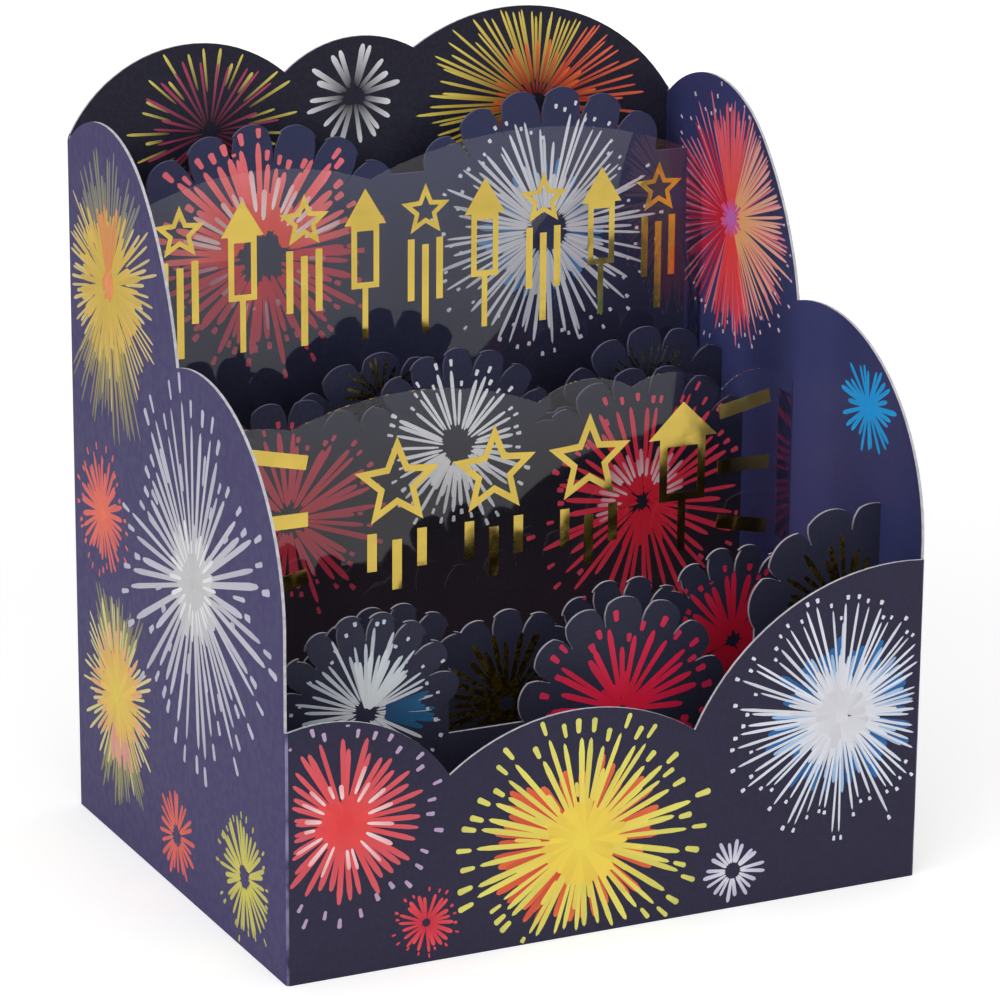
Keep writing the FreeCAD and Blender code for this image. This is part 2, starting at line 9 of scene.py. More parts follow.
import bmesh
import bpy
from mathutils import Matrix, Vector


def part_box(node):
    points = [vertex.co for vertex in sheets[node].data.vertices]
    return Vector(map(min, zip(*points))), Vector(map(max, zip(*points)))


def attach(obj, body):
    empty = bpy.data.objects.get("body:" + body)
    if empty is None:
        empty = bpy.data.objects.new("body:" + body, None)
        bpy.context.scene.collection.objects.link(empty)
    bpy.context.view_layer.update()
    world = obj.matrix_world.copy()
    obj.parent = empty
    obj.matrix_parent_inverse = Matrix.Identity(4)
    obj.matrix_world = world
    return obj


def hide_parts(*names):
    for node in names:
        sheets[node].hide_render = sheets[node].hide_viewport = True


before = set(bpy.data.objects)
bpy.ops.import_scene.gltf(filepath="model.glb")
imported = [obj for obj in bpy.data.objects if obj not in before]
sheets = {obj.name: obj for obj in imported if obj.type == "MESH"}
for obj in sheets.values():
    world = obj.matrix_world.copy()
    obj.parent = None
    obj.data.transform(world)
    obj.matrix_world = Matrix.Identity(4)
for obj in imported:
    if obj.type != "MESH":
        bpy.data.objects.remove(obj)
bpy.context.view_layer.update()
MM = 0.001
CARD = 0.45 * MM

# %% [markdown]
# Things in the scene. A camera, a lamp and a sheet are all put in the scene in the same way, each mesh
# has one finish, and what a modifier makes is taken over as a plain mesh, so three helpers do that.


# %% Helpers for things in the scene
def in_scene(name, data):
    """A new object in the scene, at the origin."""
    made = bpy.data.objects.new(name, data)
    bpy.context.scene.collection.objects.link(made)
    return made


def dress(mesh, material):
    """Gives a mesh one finish in place of those that it has."""
    mesh.materials.clear()
    mesh.materials.append(material)


def plain_mesh(piece):
    """The mesh that an object's modifiers make."""
    bpy.context.view_layer.update()
    depsgraph = bpy.context.evaluated_depsgraph_get()
    return bpy.data.meshes.new_from_object(piece.evaluated_get(depsgraph), depsgraph=depsgraph)


# %% [markdown]
# Where the camera stands. The card was photographed from the front left and a little above, with a
# long lens, so upright folds stay almost parallel. A camera could be aimed by hand, but the fitted
# place, target and roll give the same corners as the photograph, so they are written as numbers.

# %% The camera
camera_place = Vector((-265.4, -542.6, 228.35)) * MM
camera_target = Vector((-3.5, -10.2, 56.9)) * MM
camera_roll = math.radians(0.47)

camera_data = bpy.data.cameras.new("card camera")
camera_data.lens = 151.6
camera_data.sensor_width = 36.0
camera_data.clip_start = 0.05
camera = in_scene("card camera", camera_data)
looking = (camera_target - camera_place).to_track_quat("-Z", "Y").to_matrix().to_4x4()
camera.matrix_world = Matrix.Translation(camera_place) @ looking @ Matrix.Rotation(camera_roll, 4, "Z")
bpy.context.scene.camera = camera
print("camera", round((camera_target - camera_place).length, 4), "m from the card")

# %% [markdown]
# Colours are written as they look on a screen, from 0 to 255, because that is how ink is matched.
# Blender mixes light in linear values, so each colour goes through the standard screen curve.


# %% Screen colours to linear ones
def linear(red, green, blue):
    """The linear colour that a screen shows as this one."""
    curve = []
    for value in (red, green, blue):
        value = value / 255
        curve.append(value / 12.92 if value <= 0.04045 else ((value + 0.055) / 1.055) ** 2.4)
    return curve


# %% [markdown]
# Small helpers for node trees. Every material here is a handful of nodes, and wiring them by hand takes
# many lines, so these helpers add a node, join two sockets, set what isn't joined, and make the few sums
# and mixtures that return in every finish.


# %% Helpers for nodes
def add(tree, kind, **settings):
    """A new node of this kind, with its own settings."""
    node = tree.nodes.new(kind)
    for name, value in settings.items():
        setattr(node, name, value)
    return node


def feed(tree, socket, value):
    """Joins a socket to another one, or gives it a plain value."""
    if isinstance(value, bpy.types.NodeSocket):
        tree.links.new(value, socket)
    else:
        socket.default_value = value


def math_node(tree, operation, first, second=0.0):
    """One sum, product or comparison of two numbers."""
    node = add(tree, "ShaderNodeMath", operation=operation)
    feed(tree, node.inputs[0], first)
    feed(tree, node.inputs[1], second)
    return node.outputs[0]


def scaled(tree, value, factor, plus):
    """The value times a factor, and something added."""
    product = math_node(tree, "MULTIPLY_ADD", value, factor)
    feed(tree, product.node.inputs[2], plus)
    return product


def measured(tree, value, operation):
    """A vector after one operation on it alone."""
    node = add(tree, "ShaderNodeVectorMath", operation=operation)
    feed(tree, node.inputs[0], value)
    return node


def parts_of(tree, value):
    """The three numbers of a vector, by the names X, Y and Z."""
    node = add(tree, "ShaderNodeSeparateXYZ")
    feed(tree, node.inputs[0], value)
    return node.outputs


def object_place(tree):
    """Where a point lies on its piece, in the row's frame."""
    return add(tree, "ShaderNodeTexCoord").outputs["Object"]


def mix_colour(tree, factor, first, second, blend="MIX"):
    """One colour over another."""
    node = add(tree, "ShaderNodeMix", data_type="RGBA", blend_type=blend)
    feed(tree, node.inputs["Factor"], factor)
    for socket, value in zip((node.inputs[6], node.inputs[7]), (first, second)):
        feed(tree, socket, value if isinstance(value, bpy.types.NodeSocket) else (*value, 1.0))
    return node.outputs[2]


def finish(name):
    """An empty node material with its shader."""
    material = bpy.data.materials.new(name)
    material.use_nodes = True
    tree = material.node_tree
    return material, tree, tree.nodes["Principled BSDF"]


def noise(tree, place, scale, detail=2.0, low=0.4, high=0.6):
    """Soft noise, stretched so that low and high become 0 and 1."""
    cloud = add(tree, "ShaderNodeTexNoise")
    feed(tree, cloud.inputs["Vector"], place)
    feed(tree, cloud.inputs["Scale"], scale)
    feed(tree, cloud.inputs["Detail"], detail)
    stretch = add(tree, "ShaderNodeMapRange")
    feed(tree, stretch.inputs["Value"], cloud.outputs["Fac"])
    feed(tree, stretch.inputs["From Min"], low)
    feed(tree, stretch.inputs["From Max"], high)
    return stretch.outputs["Result"]


# %% [markdown]
# The studio: a pale floor, a white room and three soft lamps. The card stands on a white surface that
# has no edge behind it. The floor is a plain matt plane, and only rays that look at it see it lifted to
# white, a little more further away where the lamps no longer reach, so the card's soft shadow stays and
# no extra light falls on the card.

# %% Floor and room
floor_mesh = bpy.data.meshes.new("floor")
FLOOR_HALF = 4.0
corners = [(x * FLOOR_HALF, y * FLOOR_HALF, 0) for x, y in ((-1, -1), (1, -1), (1, 1), (-1, 1))]
floor_mesh.from_pydata(corners, [], [(0, 1, 2, 3)])
floor = in_scene("floor", floor_mesh)


def seen_rays(tree, camera_share=1.0, mirror_share=1.0):
    """A share for rays from the camera, one for rays off mirrors and through sheets, 0 for all others."""
    rays = add(tree, "ShaderNodeLightPath")
    mirrored = math_node(tree, "MAXIMUM", rays.outputs["Is Glossy Ray"], rays.outputs["Is Transmission Ray"])
    mirrored = math_node(tree, "MULTIPLY", mirrored, mirror_share)
    seen = math_node(tree, "MULTIPLY", rays.outputs["Is Camera Ray"], camera_share)
    return math_node(tree, "MAXIMUM", seen, mirrored)


floor_finish, tree, shader = finish("pale floor")
feed(tree, shader.inputs["Base Color"], (0.82, 0.82, 0.82, 1.0))
feed(tree, shader.inputs["Roughness"], 0.9)
feed(tree, shader.inputs["Specular IOR Level"], 0.1)
feed(tree, shader.inputs["Emission Color"], (1.0, 1.0, 1.0, 1.0))
away = measured(tree, object_place(tree), "LENGTH").outputs["Value"]
lift = add(tree, "ShaderNodeMapRange")
for label, value in (("Value", away), ("From Min", 0.2), ("From Max", 1.4),
                     ("To Min", 0.46), ("To Max", 1.0)):
    feed(tree, lift.inputs[label], value)
feed(tree, shader.inputs["Emission Strength"], seen_rays(tree, lift.outputs["Result"], 0.10))
floor_mesh.materials.append(floor_finish)

world = bpy.data.worlds.new("white room")
bpy.context.scene.world = world
world.use_nodes = True
tree = world.node_tree
room = tree.nodes["Background"]
room_level = add(tree, "ShaderNodeMapRange")
for label, value in (("Value", seen_rays(tree)), ("To Min", 0.30), ("To Max", 1.0)):
    feed(tree, room_level.inputs[label], value)
feed(tree, room.inputs["Color"], (1.0, 1.0, 1.0, 1.0))
feed(tree, room.inputs["Strength"], room_level.outputs["Result"])
print("floor", 2 * FLOOR_HALF, "m wide, and a white room")

# %% Lamps
lamps = {
    "left window": ((-0.80, -0.50, 0.60), 0.9, 5.0),
    "front sheet": ((0.05, -1.15, 0.70), 0.9, 3.6),
    "top sheet": ((0.1, 0.10, 1.2), 1.0, 3.6),
}
for name, (place, width, power) in lamps.items():
    lamp = bpy.data.lights.new(name, "AREA")
    lamp.size = width
    lamp.energy = power
    hung = in_scene(name, lamp)
    hung.location = place
    hung.rotation_euler = (camera_target - Vector(place)).to_track_quat("-Z", "Y").to_euler()
print("lamps", len(lamps))

# %% [markdown]
# The card stock. On the real card each sheet is white card, printed a violet navy on both faces and
# then die cut, so every cut edge shows the pale core, and a fold that has been handled wears to a pale
# line. Separate meshes for the edges would have to be split from the imported sheets, so the material
# finds the edges by itself: a face of a sheet whose true normal lies in the sheet's plane is a cut one.
# The navy also carries painted shade and sheen: a darker back panel, layers that darken towards their
# feet, darker cut edges on the high layers, and lighter bands on the side panels' inner faces.


# %% Card stock
def card_stock(name, ink_and_painted_light, core_colour, cut_face, worn_fold=None):
    """Printed card with pale cut edges. The three functions give the ink with its painted shade and sheen,
    the cut edges and the wear.
    """
    material, tree, shader = finish(name)
    normal = add(tree, "ShaderNodeNewGeometry").outputs["True Normal"]
    facing = parts_of(tree, measured(tree, normal, "ABSOLUTE").outputs[0])
    place = object_place(tree)
    out = parts_of(tree, measured(tree, place, "ABSOLUTE").outputs[0])

    # the ink colour here includes painted shade and sheen
    colour = ink_and_painted_light(tree, facing, parts_of(tree, place))
    clouds = math_node(tree, "MULTIPLY", noise(tree, place, 22.0), 0.35)
    colour = mix_colour(tree, clouds, colour, (0.82, 0.80, 0.86), "MULTIPLY")
    fibres = math_node(tree, "MULTIPLY", noise(tree, place, 1900.0, 3.0), 0.05)
    colour = mix_colour(tree, fibres, colour, linear(96, 90, 130))
    core = mix_colour(tree, noise(tree, place, 900.0), core_colour, [value * 0.8 for value in core_colour])
    if worn_fold is not None:
        worn = math_node(tree, "MULTIPLY", worn_fold(tree, out), noise(tree, place, 260.0, 4.0, 0.35, 0.6))
        colour = mix_colour(tree, worn, colour, linear(140, 132, 168))
    mask = cut_face(tree, facing, out)
    colour = mix_colour(tree, mask, colour, core)
    feed(tree, shader.inputs["Base Color"], colour)

    satin = scaled(tree, noise(tree, place, 700.0), 0.08, 0.42)
    rough = math_node(tree, "MAXIMUM", satin, math_node(tree, "MULTIPLY", mask, 0.8))
    feed(tree, shader.inputs["Roughness"], rough)
    feed(tree, shader.inputs["Specular IOR Level"], 0.20)
    grain = add(tree, "ShaderNodeBump")
    feed(tree, grain.inputs["Strength"], 0.05)
    feed(tree, grain.inputs["Distance"], 0.00002)
    feed(tree, grain.inputs["Height"], noise(tree, place, 2600.0, 3.0, 0.2, 0.8))
    feed(tree, shader.inputs["Normal"], grain.outputs["Normal"])
    return material


# a sheet's places and facings, as distances from the card's middle and shares of a face's normal
TAB_FROM = 50.0 * MM
SIDE_FROM, FRONT_FROM = 50.5 * MM, 40.3 * MM
FOLD_SIDE, FOLD_FRONT = 50.62 * MM, 40.42 * MM
OUTSIDE_FROM = 50.8 * MM
FACES_THAT_WAY = 0.5
FACES_ASIDE = 0.6


def more(tree, value, limit):
    """1 where the value is above the limit."""
    return math_node(tree, "GREATER_THAN", value, limit)


def less(tree, value, limit):
    """1 where the value is below the limit."""
    return math_node(tree, "LESS_THAN", value, limit)


def both(tree, first, second):
    """1 where both masks are."""
    return math_node(tree, "MULTIPLY", first, second)


def layer_cut(tree, facing, out):
    """A layer's cut edges: all that doesn't face front or back, apart from its two glued tabs."""
    edge = less(tree, facing["Y"], FACES_THAT_WAY)
    tab = both(tree, more(tree, out["X"], TAB_FROM), more(tree, facing["X"], FACES_ASIDE))
    return both(tree, edge, math_node(tree, "SUBTRACT", 1.0, tab))


def sleeve_cut(tree, facing, out):
    """The sleeve's cut edges, which face up, down or along their panel."""
    on_side = more(tree, out["X"], SIDE_FROM)
    on_front = more(tree, out["Y"], FRONT_FROM)
    corner = both(tree, on_side, on_front)
    side = both(tree, on_side, less(tree, facing["X"], FACES_THAT_WAY))
    front = both(tree, on_front, less(tree, facing["Y"], FACES_THAT_WAY))
    level = more(tree, facing["Z"], FACES_THAT_WAY)
    flat = math_node(tree, "MAXIMUM", side, front)
    at_corner = both(tree, corner, level)
    elsewhere = both(tree, flat, math_node(tree, "SUBTRACT", 1.0, corner))
    return math_node(tree, "MAXIMUM", at_corner, elsewhere)


def sleeve_wear(tree, out):
    """The outer curve of the four folds."""
    return both(tree, more(tree, out["X"], FOLD_SIDE), more(tree, out["Y"], FOLD_FRONT))


def sleeve_ink_with_painted_shade_and_sheen(tree, facing, spot):
    """Slate navy in front, a darker navy on the back panel as painted shade, violet outside and bluer inside
    on the sides, with lighter bands inside as painted sheen.
    """
    # painted shade: the back panel, inside and out, takes a darker navy than the front, for the shade it
    # stands in
    back_panel_in_painted_shade = more(tree, spot["Y"], 0.0)
    front_or_shaded_back = mix_colour(tree, back_panel_in_painted_shade, linear(46, 44, 66), linear(29, 29, 43))
    # painted sheen: noise bands of a lighter blue along the inner side faces stand in for the card's sheen
    painted_sheen_bands = noise(tree, spot["Y"], 34.0, 0.0, 0.36, 0.64)
    inside = mix_colour(tree, painted_sheen_bands, linear(50, 54, 98), linear(68, 73, 127))
    outside = more(tree, math_node(tree, "ABSOLUTE", spot["X"]), OUTSIDE_FROM)
    side = mix_colour(tree, outside, inside, linear(64, 56, 106))
    return mix_colour(tree, more(tree, facing["X"], FACES_ASIDE), front_or_shaded_back, side)


def rise(tree, height, foot, top):
    """0 below the foot, 1 above the top and even between them. Both are in millimetres."""
    scale = add(tree, "ShaderNodeMapRange")
    for label, value in (("Value", height), ("From Min", foot * MM), ("From Max", top * MM)):
        feed(tree, scale.inputs[label], value)
    return scale.outputs["Result"]


DEEP_BAND = 24.0


def layer_ink_and_painted_shade(foot, top, deep, low, high):
    """A layer's navy with painted shade: darkest at the foot's height, in the shade between the layers,
    lighter towards the top, where light reaches it, and browner near the floor.
    """
    # painted shade: the low and high colours stand for the shaded and the lit navy of one ink
    def ink(tree, facing, spot):
        upper = mix_colour(tree, rise(tree, spot["Z"], foot, top), low, high)
        return mix_colour(tree, rise(tree, spot["Z"], foot - DEEP_BAND, foot), deep, upper)
    return ink


layers = ("front_layer", "second_layer", "middle_layer", "rear_middle_layer", "upper_layer")
sleeve_stock = card_stock("sleeve card", sleeve_ink_with_painted_shade_and_sheen, linear(208, 205, 212), sleeve_cut, sleeve_wear)
low_stock = card_stock("low layer card",
                       layer_ink_and_painted_shade(8.0, 40.0, linear(44, 36, 44), linear(34, 31, 42), linear(46, 47, 66)),
                       linear(176, 170, 180), layer_cut)
# painted shade: the high layers' cut edges get a much darker core than the sleeve's, for the shade deep in
# the card
high_stock = card_stock("high layer card",
                        layer_ink_and_painted_shade(52.0, 90.0, linear(54, 43, 50), linear(26, 24, 33), linear(52, 57, 90)),
                        linear(104, 100, 126), layer_cut)
dress(sheets["sleeve"].data, sleeve_stock)
print("inks", sleeve_stock.name, low_stock.name, high_stock.name)

# %% [markdown]
# The petals of the layers. The die cuts each layer round its fireworks in rounded petals, and goes a
# few millimetres deeper between two petals, so that they stand apart as tongues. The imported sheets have
# the petals but not the narrow gaps, so each sheet is copied, its corners are merged, and one small
# wedge for each gap is cut out of it. A wedge follows the fan: it points to the fan's middle.

# %% Fans and their gaps
Fan = namedtuple("Fan", "across up radius petals first last")
fans = {
    "front_layer": (Fan(-33.35, 34.0, 13.0, 8, 180, 0), Fan(7.65, 28.6, 15.6, 7, 180, 0),
                    Fan(45.1, 38.0, 15.6, 3.5, 180, 72)),
    "second_layer": (Fan(-24.05, 29.5, 13.8, 8, 180, 0), Fan(-4.55, 27.2, 12.8, 7, 180, 0),
                     Fan(14.45, 28.4, 14.0, 8, 180, 0), Fan(33.35, 31.8, 13.2, 8, 180, 0),
                     Fan(48.05, 32.0, 12.4, 2.5, 180, 80)),
    "middle_layer": (Fan(-26.95, 50.3, 16.8, 8, 180, 0), Fan(0.95, 56.0, 16.2, 9, 180, 0),
                     Fan(33.16, 44.6, 21.4, 7.5, 180, 42)),
    "rear_middle_layer": (Fan(-8.55, 55.0, 16.0, 7, 180, 0), Fan(37.6, 54.5, 16.0, 5.5, 180, 44)),
    "upper_layer": (Fan(-22.55, 76.0, 28.0, 6, 131, 40), Fan(25.75, 78.0, 28.0, 6, 138, 47)),
}
gap_depth = {"front_layer": 2.4, "second_layer": 2.4, "middle_layer": 2.6, "rear_middle_layer": 2.6,
             "upper_layer": 3.4}
GAP_SHAPE = ((-1.0, 0.0), (-0.94, 0.10), (-0.6, 0.17), (-0.25, 0.34), (0.0, 0.62), (0.2, 0.9), (0.35, 1.2))
CUTTER_HALF = 1.0
CLEAR_OF_FAN = 1.2
MERGE = 0.001 * MM


def gap_wedge(form, fan, turn, depth, middle_y):
    """Adds one wedge to the cutter, from the gap's foot to above its mouth."""
    out = Vector((math.cos(turn), 0, math.sin(turn)))
    aside = Vector((-math.sin(turn), 0, math.cos(turn)))
    middle = Vector((fan.across, 0, fan.up))
    outline = [(along, -half) for along, half in reversed(GAP_SHAPE[1:])] + list(GAP_SHAPE)
    points = [middle + out * (fan.radius + along * depth) + aside * half for along, half in outline]
    rings = []
    for step in (-CUTTER_HALF, CUTTER_HALF):
        corners = [(point + Vector((0, step, 0))) * MM + Vector((0, middle_y, 0)) for point in points]
        rings.append([form.verts.new(corner) for corner in corners])
    form.faces.new(rings[0])
    form.faces.new(reversed(rings[1]))
    for one in range(len(points)):
        two = (one + 1) % len(points)
        form.faces.new((rings[0][one], rings[1][one], rings[1][two], rings[0][two]))


def object_from(form, name):
    """An object at the origin from a bmesh, with its faces outwards."""
    bmesh.ops.recalc_face_normals(form, faces=form.faces)
    mesh = bpy.data.meshes.new(name)
    form.to_mesh(mesh)
    form.free()
    return in_scene(name, mesh)


def cut_layer(name, material):
    """The layer with its petals parted, as a new piece. A valley that another fan covers gets no gap."""
    form = bmesh.new()
    form.from_mesh(sheets[name].data)
    bmesh.ops.remove_doubles(form, verts=form.verts, dist=MERGE)
    piece = object_from(form, name + "_card")
    middle_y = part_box(name)[0].y + CARD / 2
    wedges = bmesh.new()
    count = 0
    for fan in fans[name]:
        step = math.radians(fan.last - fan.first) / fan.petals
        for number in range(1, math.ceil(fan.petals)):
            turn = math.radians(fan.first) + step * number
            mouth = Vector((fan.across + fan.radius * math.cos(turn), fan.up + fan.radius * math.sin(turn)))
            if any((mouth - Vector((other.across, other.up))).length < other.radius + CLEAR_OF_FAN
                   for other in fans[name] if other is not fan):
                continue
            gap_wedge(wedges, fan, turn, gap_depth[name], middle_y)
            count += 1
    cutter = object_from(wedges, "gap cutter")
    cut = piece.modifiers.new("gaps", "BOOLEAN")
    cut.operation = "DIFFERENCE"
    cut.solver = "EXACT"
    cut.use_self = True
    cut.object = cutter
    parted = plain_mesh(piece)
    piece.modifiers.remove(cut)
    bpy.data.objects.remove(cutter)
    piece.data = parted
    dress(parted, material)
    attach(piece, "root")
    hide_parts(name)
    print(piece.name, count, "gaps", len(parted.polygons), "faces")
    return piece


cards = {"sleeve": sheets["sleeve"]}
for name in layers:
    cards[name] = cut_layer(name, low_stock if name in layers[:2] else high_stock)

# %% [markdown]
# The clear film. On the real card it is a thin polyester strip that holds the gold figures in the air.
# Full glass would bend the light twice in a sheet 0.2 mm thick and gain nothing, so the film is a
# bright mirror whose alpha is the share that a clear face reflects: a few hundredths seen square on,
# and more at a slant. Only the face towards the ray counts, and its share stands for both faces.

# %% Clear film
film, tree, shader = finish("clear film")
place = object_place(tree)
share = add(tree, "ShaderNodeFresnel")
feed(tree, share.inputs["IOR"], 1.45)
TWO_FACES = 1.75
two_faces = math_node(tree, "MULTIPLY", share.outputs[0], TWO_FACES)
near_face = math_node(tree, "SUBTRACT", 1.0, add(tree, "ShaderNodeNewGeometry").outputs["Backfacing"])
feed(tree, shader.inputs["Alpha"], both(tree, two_faces, near_face))
feed(tree, shader.inputs["Base Color"], (0.95, 0.955, 0.97, 1.0))
feed(tree, shader.inputs["Metallic"], 1.0)
feed(tree, shader.inputs["Roughness"], scaled(tree, noise(tree, place, 90.0), 0.03, 0.02))
sag = add(tree, "ShaderNodeBump")
feed(tree, sag.inputs["Strength"], 0.15)
feed(tree, sag.inputs["Distance"], 0.0004)
feed(tree, sag.inputs["Height"], noise(tree, place, 30.0, 1.0, 0.2, 0.8))
feed(tree, shader.inputs["Normal"], sag.outputs["Normal"])
print("film", len(tree.nodes), "nodes")

# %% [markdown]
# The gold foil. The figures on the films are hot stamped, so they are smooth as a mirror and bright or
# dark by what stands across from them. A metallic shader with low roughness does that by itself, and a
# slow ripple keeps each figure's reflection a little different, as the pressed foil has.


# %% Hot stamped foil
def stamped_foil(name, colour, rough, bow):
    """A metal foil with a slow ripple."""
    material, tree, shader = finish(name)
    place = object_place(tree)
    tint = mix_colour(tree, noise(tree, place, 160.0), colour, [value * 0.9 for value in colour])
    feed(tree, shader.inputs["Base Color"], tint)
    feed(tree, shader.inputs["Metallic"], 1.0)
    feed(tree, shader.inputs["Roughness"], scaled(tree, noise(tree, place, 400.0), 0.05, rough))
    bowed = add(tree, "ShaderNodeVectorMath", operation="ADD")
    feed(tree, bowed.inputs[0], add(tree, "ShaderNodeNewGeometry").outputs["Normal"])
    bowed.inputs[1].default_value = bow
    ripple = add(tree, "ShaderNodeBump")
    feed(tree, ripple.inputs["Normal"], bowed.outputs[0])
    feed(tree, ripple.inputs["Strength"], 0.3)
    feed(tree, ripple.inputs["Distance"], 0.0003)
    feed(tree, ripple.inputs["Height"], noise(tree, place, 120.0, 2.0, 0.2, 0.8))
    feed(tree, shader.inputs["Normal"], ripple.outputs["Normal"])
    return material


gold = stamped_foil("gold foil", (0.86, 0.62, 0.13), 0.10, (-0.05, 0.0, 0.06))
for name, material in (("lower_film", film), ("upper_film", film),
                       ("lower_foil", gold), ("upper_foil", gold)):
    dress(sheets[name].data, material)
    print(name, "in", material.name)

# %% [markdown]
# The inks. A printed firework has strokes that change colour from the middle to the tip, and no two
# strokes are the same. One material per colour would be flat, so the strokes carry their two colours and
# their own tone with them as attributes, and one ink and one foil read them.


# %% Inks that read the stroke
def stroke_finish(name, metallic, rough):
    """Ink or foil whose colours come from the stroke that it is on."""
    material, tree, shader = finish(name)
    along = add(tree, "ShaderNodeAttribute", attribute_name="along")
    inner = add(tree, "ShaderNodeAttribute", attribute_name="inner_ink")
    tip = add(tree, "ShaderNodeAttribute", attribute_name="tip_ink")
    tone = add(tree, "ShaderNodeAttribute", attribute_name="tone")
    shade = add(tree, "ShaderNodeHueSaturation")
    feed(tree, shade.inputs["Color"],
         mix_colour(tree, along.outputs["Fac"], inner.outputs["Color"], tip.outputs["Color"]))
    brighter = math_node(tree, "SUBTRACT", tone.outputs["Fac"], 0.5)
    brighter = math_node(tree, "MULTIPLY", along.outputs["Fac"], brighter)
    feed(tree, shade.inputs["Value"], scaled(tree, brighter, 0.22, 1.0))
    feed(tree, shader.inputs["Base Color"], shade.outputs["Color"])
    satin = scaled(tree, noise(tree, object_place(tree), 900.0), 0.08, rough)
    feed(tree, shader.inputs["Roughness"], satin)
    feed(tree, shader.inputs["Metallic"], metallic)
    return material


printed_ink = stroke_finish("printed ink", 0.0, 0.42)
stroke_foil = stroke_finish("foil strokes", 1.0, 0.22)
print("stroke inks", printed_ink.name, stroke_foil.name)

# %% [markdown]
# The strokes. Each firework is rings of strokes about one middle, and a card has some thousands of
# them, so Geometry Nodes make them: every ring is one point with its count, radii, width and colours,
# the tree repeats it, turns and shortens each copy at random from a fixed seed, and lays a thin closed
# stroke there. A ray from each tip down to the sheet tells if the stroke would run past a fold or a
# scallop, and such a stroke is made shorter, as the die and the fold cut the print.

# %% The tree of strokes
STROKE_SIDES = 10
SHORTER = (0.2, 0.28, 0.36, 0.44, 0.52, 0.6, 0.68, 0.76, 0.82, 0.88, 0.94, 1.0)
RAY_UP = 1.0 * MM
RAY_SLACK = 0.06 * MM
TOO_SHORT = 0.1
RING_STRIDE = 211.0
STROKE_LEVELS = 9.0
LEAN = 0.035
BROAD = (0.75, 1.15)
FOOT_HALF_WIDTH, TIP_GAIN = 0.36, 0.14
ROUND_ENDS = 0.3

strokes = bpy.data.node_groups.new("firework strokes", "GeometryNodeTree")
strokes.interface.new_socket("Geometry", in_out="INPUT", socket_type="NodeSocketGeometry")
for label, kind, value in (("Sheet", "NodeSocketObject", None), ("Tip margin", "NodeSocketFloat", 0.4 * MM),
                           ("Ink height", "NodeSocketFloat", 0.004 * MM),
                           ("Ring step", "NodeSocketFloat", 0.0065 * MM),
                           ("Stroke step", "NodeSocketFloat", 0.0007 * MM),
                           ("Ink", "NodeSocketMaterial", None), ("Seed", "NodeSocketInt", 7)):
    socket = strokes.interface.new_socket(label, in_out="INPUT", socket_type=kind)
    if value is not None:
        socket.default_value = value
strokes.interface.new_socket("Geometry", in_out="OUTPUT", socket_type="NodeSocketGeometry")
given = add(strokes, "NodeGroupInput")
made = add(strokes, "NodeGroupOutput")


def ring_value(name, kind="FLOAT"):
    """A value that each ring's point carries."""
    node = add(strokes, "GeometryNodeInputNamedAttribute", data_type=kind)
    node.inputs["Name"].default_value = name
    return node.outputs["Attribute"]


def chance(low, high, salt, identity):
    """A random number for each stroke, the same on every run."""
    node = add(strokes, "FunctionNodeRandomValue", data_type="FLOAT")
    numbers = {socket.identifier: socket for socket in node.inputs}
    numbers["Min_001"].default_value = low
    numbers["Max_001"].default_value = high
    feed(strokes, numbers["ID"], identity)
    feed(strokes, numbers["Seed"], math_node(strokes, "ADD", given.outputs["Seed"], salt))
    return {socket.identifier: socket for socket in node.outputs}["Value_001"]


def vector(x, y, z):
    """Three numbers as one vector."""
    node = add(strokes, "ShaderNodeCombineXYZ")
    for socket, value in zip(node.inputs, (x, y, z)):
        feed(strokes, socket, value)
    return node.outputs[0]


def stored(geometry, name, value, domain="POINT"):
    """The geometry with one more number on each point or instance."""
    node = add(strokes, "GeometryNodeStoreNamedAttribute", data_type="FLOAT", domain=domain)
    feed(strokes, node.inputs["Geometry"], geometry)
    node.inputs["Name"].default_value = name
    feed(strokes, node.inputs["Value"], value)
    return node.outputs[0]


copies = add(strokes, "GeometryNodeDuplicateElements", domain="POINT")
feed(strokes, copies.inputs["Geometry"], given.outputs["Geometry"])
feed(strokes, copies.inputs["Amount"], ring_value("count", "INT"))
which = copies.outputs["Duplicate Index"]
own = scaled(strokes, ring_value("turn"), RING_STRIDE, which)

step = math_node(strokes, "DIVIDE", math_node(strokes, "ADD", which, chance(0.2, 0.8, 1, own)),
                 ring_value("count", "INT"))
angle = scaled(strokes, step, ring_value("sweep"), ring_value("first"))
cut = math_node(strokes, "MULTIPLY", ring_value("spread"), chance(0.0, 1.0, 2, own))
kept = math_node(strokes, "SUBTRACT", 1.0, cut)
end = math_node(strokes, "MULTIPLY", ring_value("end"), kept)
drawn_in = math_node(strokes, "SUBTRACT", 1.0, math_node(strokes, "MULTIPLY", cut, ring_value("loose")))
start = math_node(strokes, "MULTIPLY", ring_value("start"), drawn_in)
ragged = math_node(strokes, "MULTIPLY", ring_value("ragged"), chance(0.0, 1.0, 6, own))
start = math_node(strokes, "ADD", start, ragged)
long = math_node(strokes, "SUBTRACT", end, start)
sideways = math_node(strokes, "COSINE", angle)
upwards = math_node(strokes, "SINE", angle)
middle = add(strokes, "GeometryNodeInputPosition").outputs[0]

